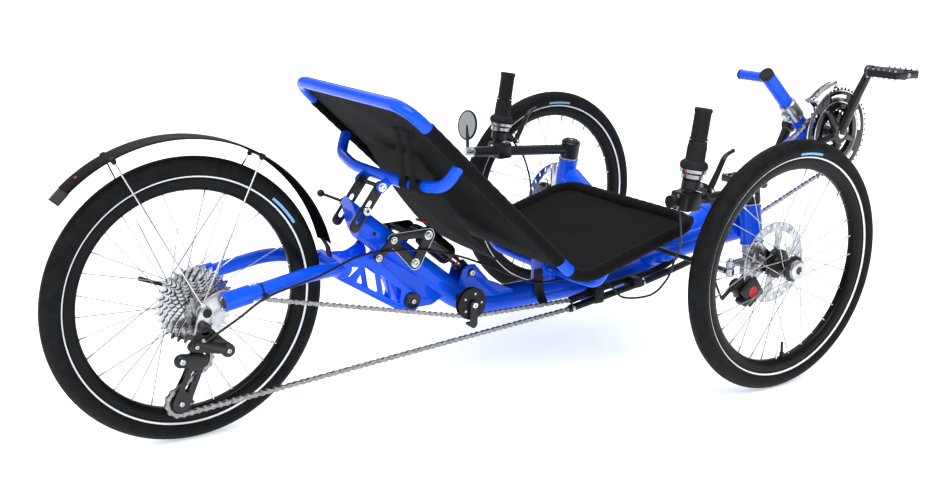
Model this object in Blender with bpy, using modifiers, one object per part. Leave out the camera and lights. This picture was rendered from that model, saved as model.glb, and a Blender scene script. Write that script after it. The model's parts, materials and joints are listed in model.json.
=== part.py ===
"""Recumbent tadpole tricycle for an adult: two steered front wheels and one sprung rear wheel.

Metres. The origin is where the rear tyre meets the ground. +Z is up, the tricycle faces -Y,
and -X is the rider's right, which is the chain's side.
"""
import math

import bmesh
import bpy
from mathutils import Matrix, Vector

# ---- driving dimensions -------------------------------------------------------------------

WHEEL_RADIUS = 0.243
WHEEL_STEPS = 32
WHEELBASE = 1.038
HALF_TRACK = 0.366
FRONT_WHEEL_LIFT = 0.0002
CAMBER = math.radians(1.1)
SPOKES_PER_FLANGE = 16
SPOKE_RADIUS = 0.0009
SPOKE_END = 0.1852

MAIN_TUBE_RADIUS = 0.0254
MAIN_TUBE_HEIGHT = 0.1455
MAIN_TUBE_BEND = (0.0, -0.5605, MAIN_TUBE_HEIGHT)
MAIN_TUBE_REAR = (0.0, -0.2500, 0.3933)
FOLD_Y = -0.8500
BOOM_RADIUS = 0.0222
BOOM_CORNER = (0.0, -0.9900, MAIN_TUBE_HEIGHT)
SLEEVE_END = (0.0, -1.2000, 0.2500)
BOTTOM_BRACKET = (0.0, -1.5300, 0.4150)

KINGPIN_TOP = Vector((0.2760, -1.0250, 0.3600))
KINGPIN_LEAN = math.radians(10)
STEERING_ARM_Y = -0.9650

SEAT_HALF_WIDTH = 0.2000
SEAT_TUBE_RADIUS = 0.0110
SEAT_TOP = (-0.3000, 0.5710)
SEAT_HIP = (-0.6750, 0.2240)
SEAT_FRONT = (-0.9620, 0.3030)
SEAT_PIVOT = (-0.7450, 0.1960)
STRUT_TOP = (-0.3480, 0.4060)
STRUT_CLAMP = (-0.3180, 0.3660)

SWINGARM_PIVOT = (-0.4160, 0.1840)
ROCKER_PIVOT = (-0.4190, 0.2570)
ROCKER_TIP = (-0.3710, 0.3070)
SHOCK_TOP = (-0.4470, 0.3060)
SHOCK_FOOT = (-0.5550, 0.2150)
LINK_FOOT = (-0.3400, 0.2780)

CHAIN_RADIUS = 0.0030
CHAIN_X = -0.0625
CASSETTE_WRAP = 0.0265
RING_WRAP = 0.0770
IDLER_WRAP = 0.0265
PULLEY_WRAP = 0.0225
IDLER_CENTRE = (-0.5270, 0.1690)
GUIDE_PULLEY = (0.0100, 0.1620)
TENSION_PULLEY = (0.0450, 0.0920)

GAP = 0.0003

# ---- paints -------------------------------------------------------------------------------


def paint(name, colour, roughness, metallic=0.0):
    """A material with one Principled shader."""
    material = bpy.data.materials.new(name)
    material.use_nodes = True
    shader = material.node_tree.nodes["Principled BSDF"]
    shader.inputs["Base Color"].default_value = (*colour, 1.0)
    shader.inputs["Roughness"].default_value = roughness
    shader.inputs["Metallic"].default_value = metallic
    material.diffuse_color = (*colour, 1.0)
    return material


BLUE = paint("blue_paint", (0.02, 0.17, 0.68), 0.28)
BLACK = paint("black_anodised", (0.012, 0.012, 0.013), 0.4)
SILVER = paint("polished_aluminium", (0.72, 0.72, 0.73), 0.25, 1.0)
STEEL = paint("plated_steel", (0.55, 0.55, 0.57), 0.3, 1.0)
TYRE_RUBBER = paint("tyre_rubber", (0.018, 0.018, 0.02), 0.75)
GRIP_RUBBER = paint("grip_rubber", (0.02, 0.02, 0.02), 0.8)
MESH_FABRIC = paint("seat_mesh", (0.025, 0.025, 0.027), 0.85)
BLACK_PLASTIC = paint("black_plastic", (0.015, 0.015, 0.016), 0.35)

# ---- basic shapes -------------------------------------------------------------------------


def new_collection(name):
    """A collection in the scene."""
    made = bpy.data.collections.new(name)
    bpy.context.scene.collection.children.link(made)
    return made


def clear_scene():
    """Removes what the scene starts with."""
    for obj in list(bpy.data.objects):
        bpy.data.objects.remove(obj)


clear_scene()
MODEL = new_collection("recumbent_tricycle")
WORKSHOP = new_collection("workshop")


def as_object(data, placing=None):
    """A new object in the workshop, where pieces are kept until they are finished."""
    obj = bpy.data.objects.new("piece", data)
    if placing is not None:
        obj.matrix_world = placing
    WORKSHOP.objects.link(obj)
    return obj


def as_mesh(obj):
    """The same shape as a closed mesh with welded points, its modifiers applied."""
    bpy.context.view_layer.update()
    placing = obj.matrix_world.copy()
    mesh = bpy.data.meshes.new_from_object(obj.evaluated_get(bpy.context.evaluated_depsgraph_get()))
    shape = bmesh.new()
    shape.from_mesh(mesh)
    bmesh.ops.remove_doubles(shape, verts=shape.verts, dist=1e-6)
    bmesh.ops.recalc_face_normals(shape, faces=shape.faces)
    shape.to_mesh(mesh)
    shape.free()
    bpy.data.objects.remove(obj)
    return as_object(mesh, placing)


def combine(body, tool, operation):
    """Adds the tool to the body, or cuts it away, and removes the tool."""
    modifier = body.modifiers.new(operation, "BOOLEAN")
    modifier.operation = operation
    modifier.solver = "EXACT"
    modifier.object = tool
    made = as_mesh(body)
    bpy.data.objects.remove(tool)
    return made


def fuse(pieces, cuts=()):
    """One body made of overlapping pieces, less the cuts."""
    body = as_mesh(pieces[0])
    for piece in pieces[1:]:
        body = combine(body, as_mesh(piece), "UNION")
    for cut in cuts:
        body = combine(body, as_mesh(cut), "DIFFERENCE")
    return body


def finish(name, material, obj):
    """Names a finished piece, paints it and moves it into the model."""
    obj = as_mesh(obj)
    obj.name = name
    obj.data.name = name
    obj.data.materials.append(material)
    obj.data.shade_smooth()
    obj.data.set_sharp_from_angle(angle=math.radians(35))
    WORKSHOP.objects.unlink(obj)
    MODEL.objects.link(obj)
    return obj


def rod(start, end, radius, sides=16, end_radius=None):
    """A round bar between two points, or a cone when its end radius differs."""
    start = Vector(start)
    end = Vector(end)
    shape = bmesh.new()
    bmesh.ops.create_cone(
        shape,
        cap_ends=True,
        segments=sides,
        radius1=radius,
        radius2=radius if end_radius is None else end_radius,
        depth=(end - start).length,
    )
    mesh = bpy.data.meshes.new("rod")
    shape.to_mesh(mesh)
    shape.free()
    turn = (end - start).to_track_quat("Z", "Y").to_matrix().to_4x4()
    return as_object(mesh, Matrix.Translation((start + end) / 2) @ turn)


def cross_rod(y_z, x_low, x_high, radius, sides=16):
    """A round bar that lies across the tricycle."""
    return rod((x_low, *y_z), (x_high, *y_z), radius, sides)


def block(centre, size, tilt=0.0):
    """A box, tilted about X."""
    shape = bmesh.new()
    bmesh.ops.create_cube(shape, size=1.0)
    bmesh.ops.scale(shape, vec=size, verts=shape.verts)
    mesh = bpy.data.meshes.new("block")
    shape.to_mesh(mesh)
    shape.free()
    return as_object(mesh, Matrix.Translation(centre) @ Matrix.Rotation(tilt, 4, "X"))


def rounded(corners, reach, steps=3, closed=False):
    """The corners of a bent tube, each replaced by a smooth bend."""
    points = []
    last = len(corners) - 1
    for index, corner in enumerate(corners):
        corner = Vector(corner)
        if not closed and index in (0, last):
            points.append(corner)
            continue
        into = corner - Vector(corners[index - 1])
        out = Vector(corners[(index + 1) % len(corners)]) - corner
        short = min(reach, 0.48 * into.length, 0.48 * out.length)
        start = corner - into.normalized() * short
        end = corner + out.normalized() * short
        for step in range(steps + 1):
            t = step / steps
            points.append(start * (1 - t) ** 2 + corner * 2 * t * (1 - t) + end * t**2)
    return points


def smooth(knots, steps):
    """A smooth curve through every knot, as points."""
    knots = [Vector(knot) for knot in knots]
    points = []
    for index in range(len(knots) - 1):
        start = knots[index]
        end = knots[index + 1]
        leave = (end - knots[max(index - 1, 0)]) / 2
        arrive = (knots[min(index + 2, len(knots) - 1)] - start) / 2
        for step in range(steps):
            t = step / steps
            points.append(
                start * (2 * t**3 - 3 * t**2 + 1)
                + end * (3 * t**2 - 2 * t**3)
                + leave * (t**3 - 2 * t**2 + t)
                + arrive * (t**3 - t**2)
            )
    return [*points, knots[-1]]


def pipe(points, radius, sides=12, closed=False, caps=True):
    """A round tube along the points."""
    curve = bpy.data.curves.new("pipe", "CURVE")
    curve.dimensions = "3D"
    spline = curve.splines.new("POLY")
    spline.points.add(len(points) - 1)
    for knot, point in zip(spline.points, points):
        knot.co = (*point, 1.0)
    spline.use_cyclic_u = closed
    curve.bevel_depth = radius
    curve.bevel_resolution = (sides - 4) // 2
    curve.use_fill_caps = caps and not closed
    return as_object(curve)


def plate(outlines, thickness, x):
    """A flat plate across X, from outlines of (y, z) points. Outlines inside the first are holes."""
    curve = bpy.data.curves.new("plate", "CURVE")
    curve.dimensions = "2D"
    curve.fill_mode = "BOTH"
    curve.extrude = thickness / 2
    for outline in outlines:
        spline = curve.splines.new("POLY")
        spline.points.add(len(outline) - 1)
        for knot, (y, z) in zip(spline.points, outline):
            knot.co = (y, z, 0.0, 1.0)
        spline.use_cyclic_u = True
    across = Matrix(((0, 0, 1, x), (1, 0, 0, 0), (0, 1, 0, 0), (0, 0, 0, 1)))
    return as_object(curve, across)


def arc(centre, radius, start, end, steps):
    """Points on an arc in the (y, z) plane. Angles are in degrees from +Y towards +Z."""
    points = []
    for step in range(steps + 1):
        angle = math.radians(start + (end - start) * step / steps)
        points.append((centre[0] + radius * math.cos(angle), centre[1] + radius * math.sin(angle)))
    return points


def around(circles, steps=10):
    """The outline that goes round several (centre, radius) circles, as a convex shape."""
    cloud = []
    for centre, radius in circles:
        cloud += arc(centre, radius, 0, 360 - 360 / steps, steps - 1)
    cloud = sorted(set(cloud))
    sides = []
    for row in (cloud, cloud[::-1]):
        side = []
        for point in row:
            while len(side) > 1 and turns_right(side[-2], side[-1], point):
                side.pop()
            side.append(point)
        sides += side[:-1]
    return sides


def turns_right(first, second, third):
    """True where the path through three points doesn't turn left."""
    across = (second[0] - first[0]) * (third[1] - first[1])
    along = (second[1] - first[1]) * (third[0] - first[0])
    return across - along <= 0


def turned(profile, placing, steps=WHEEL_STEPS):
    """A solid turned about its own Z. The (radius, height) profile runs down its outer side."""
    on_axis = profile[0][0] == 0
    count = len(profile)
    edges = [(i, i + 1) for i in range(count - 1)]
    if not on_axis:
        edges.append((count - 1, 0))
    mesh = bpy.data.meshes.new("turned")
    mesh.from_pydata([(radius, 0.0, height) for radius, height in profile], edges, [])
    obj = as_object(mesh, placing)
    screw = obj.modifiers.new("turn", "SCREW")
    screw.axis = "Z"
    screw.steps = steps
    screw.render_steps = steps
    screw.use_merge_vertices = True
    screw.merge_threshold = 0.00001
    return obj


def axle_frame(centre, side, lean=0.0, steps=WHEEL_STEPS):
    """A frame whose Z runs outboard along an axle. Half a step's turn puts a flat at the bottom."""
    out = Vector((side * math.cos(lean), 0.0, -math.sin(lean)))
    down = Vector((-side * math.sin(lean), 0.0, -math.cos(lean)))
    turn = Matrix((down, out.cross(down), out)).transposed().to_4x4()
    return Matrix.Translation(centre) @ turn @ Matrix.Rotation(math.pi / steps, 4, "Z")


PIVOTS = {}


def body(name, place, pieces, parent=None):
    """An empty on the joint's axis, which carries the pieces that move together."""
    empty = bpy.data.objects.new("pivot_" + name, None)
    empty.location = place
    empty.empty_display_size = 0.03
    MODEL.objects.link(empty)
    PIVOTS[name] = empty
    if parent:
        empty.parent = PIVOTS[parent]
        empty.matrix_parent_inverse = Matrix.Translation(-PIVOTS[parent].location)
    for piece in pieces:
        piece.parent = empty
        piece.matrix_parent_inverse = Matrix.Translation(-empty.location)


# ---- wheels -------------------------------------------------------------------------------


def tyre(placing):
    """A hollow tyre, open towards the rim, with a flat tread."""
    flat = 1 / math.cos(math.pi / WHEEL_STEPS)
    outside = [
        (WHEEL_RADIUS * flat, 0.0055),
        (0.2385, 0.0140),
        (0.2280, 0.0205),
        (0.2170, 0.0200),
        (0.2078, 0.0098),
        (0.2014, 0.0083),
    ]
    inside = [
        (0.2014, 0.0055),
        (0.2190, 0.0165),
        (0.2385, 0.0070),
    ]
    ring = [(radius, -height) for radius, height in outside]
    back = [(radius, -height) for radius, height in inside]
    far = [(radius, height) for radius, height in reversed(inside)]
    return turned([*ring, *back, *far, *reversed(outside)], placing)


def rim(placing):
    """A deep box rim with two flanges that hold the tyre."""
    half = [
        (0.2008, 0.0088),
        (0.2080, 0.0104),
        (0.2080, 0.0125),
        (0.1900, 0.0088),
        (0.1872, 0.0045),
    ]
    lower = [(radius, -height) for radius, height in half]
    return turned([*lower, *reversed(half)], placing)


def spokes(placing, flanges):
    """Crossed spokes from each (height, radius) flange, as one loose mesh inside the flanges."""
    shape = bmesh.new()
    spacing = 2 * math.pi / SPOKES_PER_FLANGE
    for side, (height, radius) in enumerate(flanges):
        for index in range(SPOKES_PER_FLANGE):
            way = 1 if index % 2 else -1
            hub_angle = (index + side / 2) * spacing
            rim_angle = hub_angle + 3 * way * spacing
            start = point_at(hub_angle, radius, height + 0.0019 * way)
            end = point_at(rim_angle, SPOKE_END, math.copysign(0.0012, height) + 0.0016 * way)
            add_spoke(shape, start, end)
    mesh = bpy.data.meshes.new("spokes")
    shape.to_mesh(mesh)
    shape.free()
    return as_object(mesh, placing)


def point_at(angle, radius, height):
    """A point from cylindrical coordinates."""
    return Vector((radius * math.cos(angle), radius * math.sin(angle), height))


def add_spoke(shape, start, end):
    """Adds one thin bar to a mesh."""
    along = end - start
    turn = along.to_track_quat("Z", "Y").to_matrix().to_4x4()
    bmesh.ops.create_cone(
        shape,
        cap_ends=True,
        segments=4,
        radius1=SPOKE_RADIUS,
        radius2=SPOKE_RADIUS,
        depth=along.length,
        matrix=Matrix.Translation((start + end) / 2) @ turn,
    )


def front_hub(placing):
    """A front hub shell closed at its outer end, with its spokes."""
    shell = [
        (0, 0.0360),
        (0.0190, 0.0360),
        (0.0190, 0.0270),
        (0.0245, 0.0232),
        (0.0245, 0.0178),
        (0.0145, 0.0140),
        (0.0145, -0.0120),
        (0.0285, -0.0160),
        (0.0285, -0.0210),
        (0.0160, -0.0240),
        (0.0160, -0.0340),
        (0.0085, -0.0340),
        (0.0085, 0.0300),
        (0, 0.0300),
    ]
    return fuse([turned(shell, placing, 20), spokes(placing, [(0.0205, 0.0225), (-0.0185, 0.0262)])])


def rear_hub(placing):
    """The rear hub shell and the body that carries the cassette, with the spokes."""
    shell = [
        (0.0120, 0.0455),
        (0.0120, 0.0375),
        (0.0225, 0.0368),
        (0.0225, 0.0312),
        (0.0140, 0.0290),
        (0.0140, -0.0150),
        (0.0245, -0.0172),
        (0.0245, -0.0228),
        (0.0163, -0.0236),
        (0.0163, -0.0648),
        (0.0058, -0.0648),
        (0.0058, 0.0455),
    ]
    return fuse([turned(shell, placing, 20), spokes(placing, [(0.0340, 0.0205), (-0.0200, 0.0225)])])


def rotor(placing):
    """A brake disc with eight windows, round the hub's inboard neck."""
    ring = [
        (0.0800, -0.0275),
        (0.0800, -0.0293),
        (0.0166, -0.0293),
        (0.0166, -0.0275),
    ]
    windows = []
    for index in range(8):
        angle = (index + 0.5) * math.pi / 4
        hole = point_at(angle, 0.0430, -0.0284)
        down = placing @ (hole + Vector((0, 0, -0.01)))
        up = placing @ (hole + Vector((0, 0, 0.01)))
        windows.append(rod(down, up, 0.0125, 6))
    return fuse([turned(ring, placing)], windows)


def front_wheel(prefix, side):
    """One front wheel: it leans outwards a little and turns on a stub axle."""
    centre = (side * HALF_TRACK, -WHEELBASE, WHEEL_RADIUS + FRONT_WHEEL_LIFT)
    placing = axle_frame(centre, side, CAMBER)
    pieces = [
        finish(prefix + "_front_tyre", TYRE_RUBBER, tyre(placing)),
        finish(prefix + "_front_rim", BLACK, rim(placing)),
        finish(prefix + "_front_hub", SILVER, front_hub(placing)),
        finish(prefix + "_front_rotor", STEEL, rotor(placing)),
    ]
    body(prefix + "_front_wheel", centre, pieces, prefix + "_steering")


def rear_wheel():
    """The rear wheel and the cassette, which turn on one axle."""
    centre = (0.0, 0.0, WHEEL_RADIUS)
    placing = axle_frame(centre, 1)
    pieces = [
        finish("rear_tyre", TYRE_RUBBER, tyre(placing)),
        finish("rear_rim", BLACK, rim(placing)),
        finish("rear_hub", SILVER, rear_hub(placing)),
    ]
    body("rear_wheel", centre, pieces, "swingarm")
    body("cassette", centre, [finish("cassette", STEEL, cassette(placing))], "swingarm")


def cassette(placing):
    """Sprockets in steps, from the smallest outboard to the largest beside the spokes."""
    steps = [
        (0.0640, -0.0262, -0.0296),
        (0.0540, -0.0296, -0.0383),
        (0.0440, -0.0383, -0.0470),
        (0.0330, -0.0470, -0.0552),
        (0.0275, -0.0552, -0.0588),
        (0.0225, -0.0588, -0.0642),
    ]
    profile = []
    for radius, inner, outer in steps:
        profile += [(radius, inner), (radius, outer)]
    profile += [(0.0172, steps[-1][2]), (0.0172, steps[0][1])]
    return turned(profile, placing, 20)


# ---- frame --------------------------------------------------------------------------------


def main_frame():
    """The rear frame tube with its shock bracket, rocker boss, swingarm gusset and seat saddle."""
    flange = -FOLD_Y - 2 * GAP
    tube = pipe(
        rounded([(0, -flange, MAIN_TUBE_HEIGHT), MAIN_TUBE_BEND, MAIN_TUBE_REAR], 0.06, 4),
        MAIN_TUBE_RADIUS,
        16,
    )
    gusset = plate(
        [[(-0.350, 0.285), (-0.505, 0.180), (-0.470, 0.162), (-0.425, 0.162), (-0.398, 0.170)]],
        0.036,
        0,
    )
    bracket = [(-0.522, 0.180), (-0.536, 0.222), (-0.548, 0.231), (-0.564, 0.230)]
    bracket += [(-0.600, 0.190), (-0.655, 0.166), (-0.655, 0.150), (-0.530, 0.155)]
    parts = [
        tube,
        gusset,
        cross_rod(SWINGARM_PIVOT, -0.0245, 0.0245, 0.0190),
        cross_rod(ROCKER_PIVOT, -0.0310, 0.0310, 0.0110),
        plate([bracket], 0.004, -0.019),
        plate([bracket], 0.004, 0.019),
        rod((0, -flange, MAIN_TUBE_HEIGHT), (0, -flange + 0.008, MAIN_TUBE_HEIGHT), 0.033, 20),
        block((0, SEAT_PIVOT[0], 0.188), (0.040, 0.036, 0.052)),
    ]
    mitre_normal = Vector((0.0, 0.9750, -0.2210))
    mitre = Vector((0.0, -0.3055, 0.3495)) + mitre_normal * 0.1
    cuts = [
        block(mitre, (0.2, 0.2, 0.3), -math.atan2(0.2210, 0.9750)),
        cross_rod(SWINGARM_PIVOT, -0.05, 0.05, 0.0095),
        cross_rod(STRUT_CLAMP, -0.05, 0.05, 0.0038),
        cross_rod(SEAT_PIVOT, -0.05, 0.05, 0.0104),
    ]
    return finish("main_frame", BLUE, fuse(parts, cuts))


def kingpin_point(side, height):
    """A point on a kingpin's axis at a height above the ground."""
    out = (KINGPIN_TOP.z - height) * math.tan(KINGPIN_LEAN)
    return Vector((side * (KINGPIN_TOP.x + out), KINGPIN_TOP.y, height))


def front_frame():
    """The cross member with both head tubes, the boom sleeve and the fold's latch."""
    sleeve = pipe(
        rounded([(0, FOLD_Y, MAIN_TUBE_HEIGHT), BOOM_CORNER, SLEEVE_END], 0.05, 4),
        MAIN_TUBE_RADIUS,
        16,
    )
    parts = [sleeve]
    for side in (-1, 1):
        parts.append(rod((0, -1.020, 0.175), (side * 0.2640, -1.022, 0.302), 0.0220))
        parts.append(rod(kingpin_point(side, 0.272), kingpin_point(side, 0.345), 0.0215))
    parts.append(rod((0, FOLD_Y, MAIN_TUBE_HEIGHT), (0, FOLD_Y - 0.008, MAIN_TUBE_HEIGHT), 0.033, 20))
    parts.append(block((0, -0.868, 0.1130), (0.020, 0.030, 0.022)))
    cuts = [
        rod((0, -1.020, 0.160), Vector(SLEEVE_END) + boom_direction() * 0.02, BOOM_RADIUS + GAP, 16),
    ]
    for side in (-1, 1):
        cuts.append(rod(kingpin_point(side, 0.25), kingpin_point(side, 0.37), 0.0147))
    return finish("front_frame", BLUE, fuse(parts, cuts))


def boom_direction():
    """Unit vector forwards along the boom."""
    return (Vector(BOTTOM_BRACKET) - Vector(SLEEVE_END)).normalized()


def boom():
    """The boom with the bottom bracket shell and the leaning post with its short crossbar."""
    start = Vector(SLEEVE_END) - boom_direction() * 0.150
    post_top = (0, -1.350, 0.552)
    parts = [
        rod(start, BOTTOM_BRACKET, BOOM_RADIUS - GAP, 16),
        cross_rod(BOTTOM_BRACKET[1:], -0.0350, 0.0350, 0.0210, 20),
        rod((0, -1.492, 0.420), post_top, 0.0159),
        rod((0, -1.361, 0.541), (0.085, -1.361, 0.541), 0.0111, 12),
        rod((0, -1.463, 0.4470), (0, -1.424, 0.4830), 0.0200),
    ]
    bore = cross_rod(BOTTOM_BRACKET[1:], -0.06, 0.06, 0.0150)
    return finish("boom", BLUE, fuse(parts, [bore]))


def swingarm():
    """Chainstays, yoke, dropouts and the two pierced plates that run down to the pivot."""
    plate_outline = [(-0.252, 0.284), (-0.264, 0.246), (-0.300, 0.224), (-0.405, 0.158)]
    plate_outline += [(-0.428, 0.162), (-0.438, 0.188), (-0.405, 0.212), (-0.354, 0.262)]
    plate_outline += [(-0.352, 0.284), (-0.336, 0.292), (-0.310, 0.280)]
    windows = [
        [(-0.278, 0.268), (-0.286, 0.246), (-0.308, 0.262)],
        [(-0.301, 0.236), (-0.345, 0.210), (-0.338, 0.252), (-0.320, 0.264)],
        [(-0.357, 0.202), (-0.392, 0.181), (-0.396, 0.206), (-0.350, 0.243)],
    ]
    parts = [cross_rod((-0.268, 0.268), -0.048, 0.048, 0.0160)]
    for side, out in ((-1, 0.0800), (1, 0.0790)):
        stay = [(side * 0.036, -0.266, 0.268), (side * (out - 0.002), -0.190, 0.281)]
        stay.append((side * out, -0.045, 0.2580))
        parts.append(pipe(rounded(stay, 0.04, 2), 0.0128, 10))
        dropout = [(-0.062, 0.268), (-0.055, 0.243), (-0.012, 0.227), (0.012, 0.230)]
        dropout += [(0.016, 0.248), (0.004, 0.262), (-0.030, 0.274)]
        parts.append(plate([dropout], 0.006, side * 0.0705))
        parts.append(plate([plate_outline, *windows], 0.004, side * 0.0285))
    cuts = [
        cross_rod((0, WHEEL_RADIUS), -0.1, 0.1, 0.0058),
        cross_rod(SWINGARM_PIVOT, -0.05, 0.05, 0.0095),
    ]
    return finish("swingarm", BLUE, fuse(parts, cuts))


def rear_fender():
    """A band round the top of the rear wheel, held by wire stays from the dropouts."""
    centre = (0.010, 0.247)
    outline = arc(centre, 0.2740, 40, 166, 18) + arc(centre, 0.2700, 166, 40, 18)
    stay_low = arc(centre, 0.2720, 58, 58, 1)[0]
    stay_high = arc(centre, 0.2720, 112, 112, 1)[0]
    parts = [plate([outline], 0.052, 0)]
    for side in (-1, 1):
        eye = (side * 0.0790, 0.0060, 0.2560)
        for y, z in (stay_low, stay_high):
            parts.append(rod(eye, (side * 0.0230, y, z), 0.0020, 6))
        parts.append(cross_rod(eye[1:], side * 0.0775, side * 0.0805, 0.0040, 8))
    return finish("rear_fender", BLACK_PLASTIC, fuse(parts))


def shock_rocker():
    """Two three-cornered plates either side of the main tube, joined by a bar."""
    outline = around([(ROCKER_PIVOT, 0.013), (ROCKER_TIP, 0.011), (SHOCK_TOP, 0.013)])
    bridge = (-0.4100, 0.3130)
    parts = [plate([outline], 0.005, side * 0.0360) for side in (-1, 1)]
    parts.append(cross_rod(bridge, -0.0360, 0.0360, 0.0060, 10))
    return finish("shock_rocker", BLACK, fuse(parts))


def shock_link(prefix, side):
    """A dog-bone that joins the swingarm to the rocker on one side."""
    outline = around([(ROCKER_TIP, 0.0080), (LINK_FOOT, 0.0080)])
    pin = cross_rod(LINK_FOOT, side * 0.0315, side * 0.0400, 0.0050, 10)
    return finish(prefix + "_shock_link", BLACK, fuse([plate([outline], 0.004, side * 0.0415), pin]))


def shock_point(distance):
    """A point on the shock's axis, at a distance below its top eye."""
    top = Vector((0, *SHOCK_TOP))
    along = (Vector((0, *SHOCK_FOOT)) - top).normalized()
    return top + along * distance


def shock_air_can():
    """The shock's can and top eye, bored for the shaft."""
    parts = [
        rod(shock_point(0.012), shock_point(0.088), 0.0210, 20),
        cross_rod(SHOCK_TOP, -0.0125, 0.0125, 0.0110, 14),
        rod(shock_point(0.0), shock_point(0.020), 0.0095, 12),
    ]
    bore = rod(shock_point(0.040), shock_point(0.1), 0.0105, 14)
    return finish("shock_air_can", BLACK, fuse(parts, [bore]))


def shock_shaft():
    """The shock's shaft and foot eye."""
    parts = [
        rod(shock_point(0.062), shock_point(0.138), 0.0090, 14),
        cross_rod(SHOCK_FOOT, -0.0145, 0.0145, 0.0115, 14),
    ]
    return finish("shock_shaft", SILVER, fuse(parts))


# ---- seat ---------------------------------------------------------------------------------


def seat_hoop(radius):
    """The closed loop of tube round the back and the base."""
    corners = []
    for side in (1, -1):
        run = [(side * SEAT_HALF_WIDTH, *place) for place in (SEAT_TOP, SEAT_HIP, SEAT_FRONT)]
        corners += run[::side]
    return pipe(rounded(corners, 0.05, 3, closed=True), radius, 10, closed=True)


def seat_frame():
    """The hoop of the back and base, the brace with its strut lugs, and the pivot tube."""
    wide = SEAT_HALF_WIDTH
    middle = (-0.3670, 0.4200)
    brace = [(wide, -0.408, 0.470), (0.185, -0.386, 0.428), (0.100, *middle)]
    pivot = [(wide, -0.740, 0.243), (0.168, -0.744, 0.200), (0.100, *SEAT_PIVOT)]
    parts = [seat_hoop(SEAT_TUBE_RADIUS)]
    for half, radius in ((brace, 0.0105), (pivot, 0.0095)):
        whole = half + [(-x, y, z) for x, y, z in reversed(half)]
        parts.append(pipe(rounded(whole, 0.03, 2), radius, 10))
    for side in (-1, 1):
        lug = around([(STRUT_TOP, 0.0105), (middle, 0.0080)])
        parts.append(plate([lug], 0.0052, side * 0.0394))
    return finish("seat_frame", BLUE, fuse(parts))


def seat_sling():
    """The mesh of the back and the base, as one sheet between the side tubes."""
    centre = [(-0.3110, 0.5560), (-0.4200, 0.4480), (-0.5500, 0.3200), (-0.6350, 0.2520)]
    centre += [(-0.6900, 0.2330), (-0.8000, 0.2540), (-0.9400, 0.2920)]
    half = 0.002
    above = []
    below = []
    for index, (y, z) in enumerate(centre):
        before = centre[max(index - 1, 0)]
        after = centre[min(index + 1, len(centre) - 1)]
        along = Vector((after[0] - before[0], after[1] - before[1])).normalized()
        above.append((y + along.y * half, z - along.x * half))
        below.append((y - along.y * half, z + along.x * half))
    sheet = plate([above + below[::-1]], 2 * SEAT_HALF_WIDTH - 0.031, 0)
    return finish("seat_sling", MESH_FABRIC, fuse([sheet], [seat_hoop(SEAT_TUBE_RADIUS + 2 * GAP)]))


def seat_struts():
    """Two slotted plates and the pin that hangs them from the seat's lugs."""
    top = Vector(STRUT_TOP)
    along = (Vector(STRUT_CLAMP) - top).normalized()
    foot = top + along * 0.0850
    slot = [(top + along * 0.0350, 0.0050), (top + along * 0.0740, 0.0050)]
    outline = around([(tuple(top), 0.0100), (tuple(foot), 0.0100)], 12)
    hole = around([(tuple(centre), radius) for centre, radius in slot], 12)
    parts = [plate([outline, hole], 0.006, side * 0.0325) for side in (-1, 1)]
    parts.append(cross_rod(STRUT_TOP, -0.0325, 0.0325, 0.0040, 10))
    return finish("seat_struts", BLACK, fuse(parts))


def seat_clamp_axle():
    """The quick-release rod through the struts and the main tube."""
    parts = [
        cross_rod(STRUT_CLAMP, -0.0430, 0.0440, 0.0030, 10),
        cross_rod(STRUT_CLAMP, -0.0430, -0.0362, 0.0080, 12),
        cross_rod(STRUT_CLAMP, 0.0362, 0.0440, 0.0080, 12),
    ]
    return finish("seat_clamp_axle", STEEL, fuse(parts))


def seat_clamp_lever():
    """The cam lever of the seat's quick release, with a ball at its end."""
    cam = Vector((0.0500, *STRUT_CLAMP))
    half_pin = Vector((0.0, 0.4008, -0.9162)) * 0.0060
    ball = bmesh.new()
    bmesh.ops.create_uvsphere(ball, u_segments=10, v_segments=6, radius=0.0070)
    mesh = bpy.data.meshes.new("ball")
    ball.to_mesh(mesh)
    ball.free()
    end = (0.0750, -0.2860, 0.3800)
    parts = [
        rod(cam - half_pin, cam + half_pin, 0.0055, 12),
        rod(cam, end, 0.0028, 8),
        as_object(mesh, Matrix.Translation(end)),
    ]
    return finish("seat_clamp_lever", BLACK, fuse(parts))


# ---- steering -----------------------------------------------------------------------------


def knuckle(prefix, side):
    """The steerer, the block below it, the stub axle, the steering arm and the brake mount."""
    low = kingpin_point(side, 0.238)
    hub = Vector((side * HALF_TRACK, -WHEELBASE, WHEEL_RADIUS + FRONT_WHEEL_LIFT))
    out = Vector((side * math.cos(CAMBER), 0, -math.sin(CAMBER)))
    arm = Vector((low.x, STEERING_ARM_Y, 0.2400))
    parts = [
        rod(low, kingpin_point(side, 0.3720), 0.0137),
        rod(kingpin_point(side, 0.236), kingpin_point(side, 0.269), 0.0190),
        rod(hub - out * 0.0660, hub - out * 0.0360, 0.0150),
        rod(hub - out * 0.0400, hub + out * 0.0290, 0.0075, 12),
        rod((low.x, low.y, 0.2440), arm, 0.0070, 10),
        rod(arm - Vector((0, 0, 0.006)), arm + Vector((0, 0, 0.006)), 0.0090, 12),
        block((side * 0.3070, -1.0060, 0.2280), (0.0130, 0.0400, 0.0200)),
    ]
    return finish(prefix + "_knuckle", SILVER, fuse(parts))


GRIP_FOOT = Vector((0.3000, -0.8380, 0.3780))
GRIP_ALONG = Vector((0.0, -0.1480, 0.9890)).normalized()


def grip_point(side, distance):
    """A point on the upright bar, at a distance above the clamp."""
    point = GRIP_FOOT + GRIP_ALONG * distance
    return Vector((side * point.x, point.y, point.z))


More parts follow.
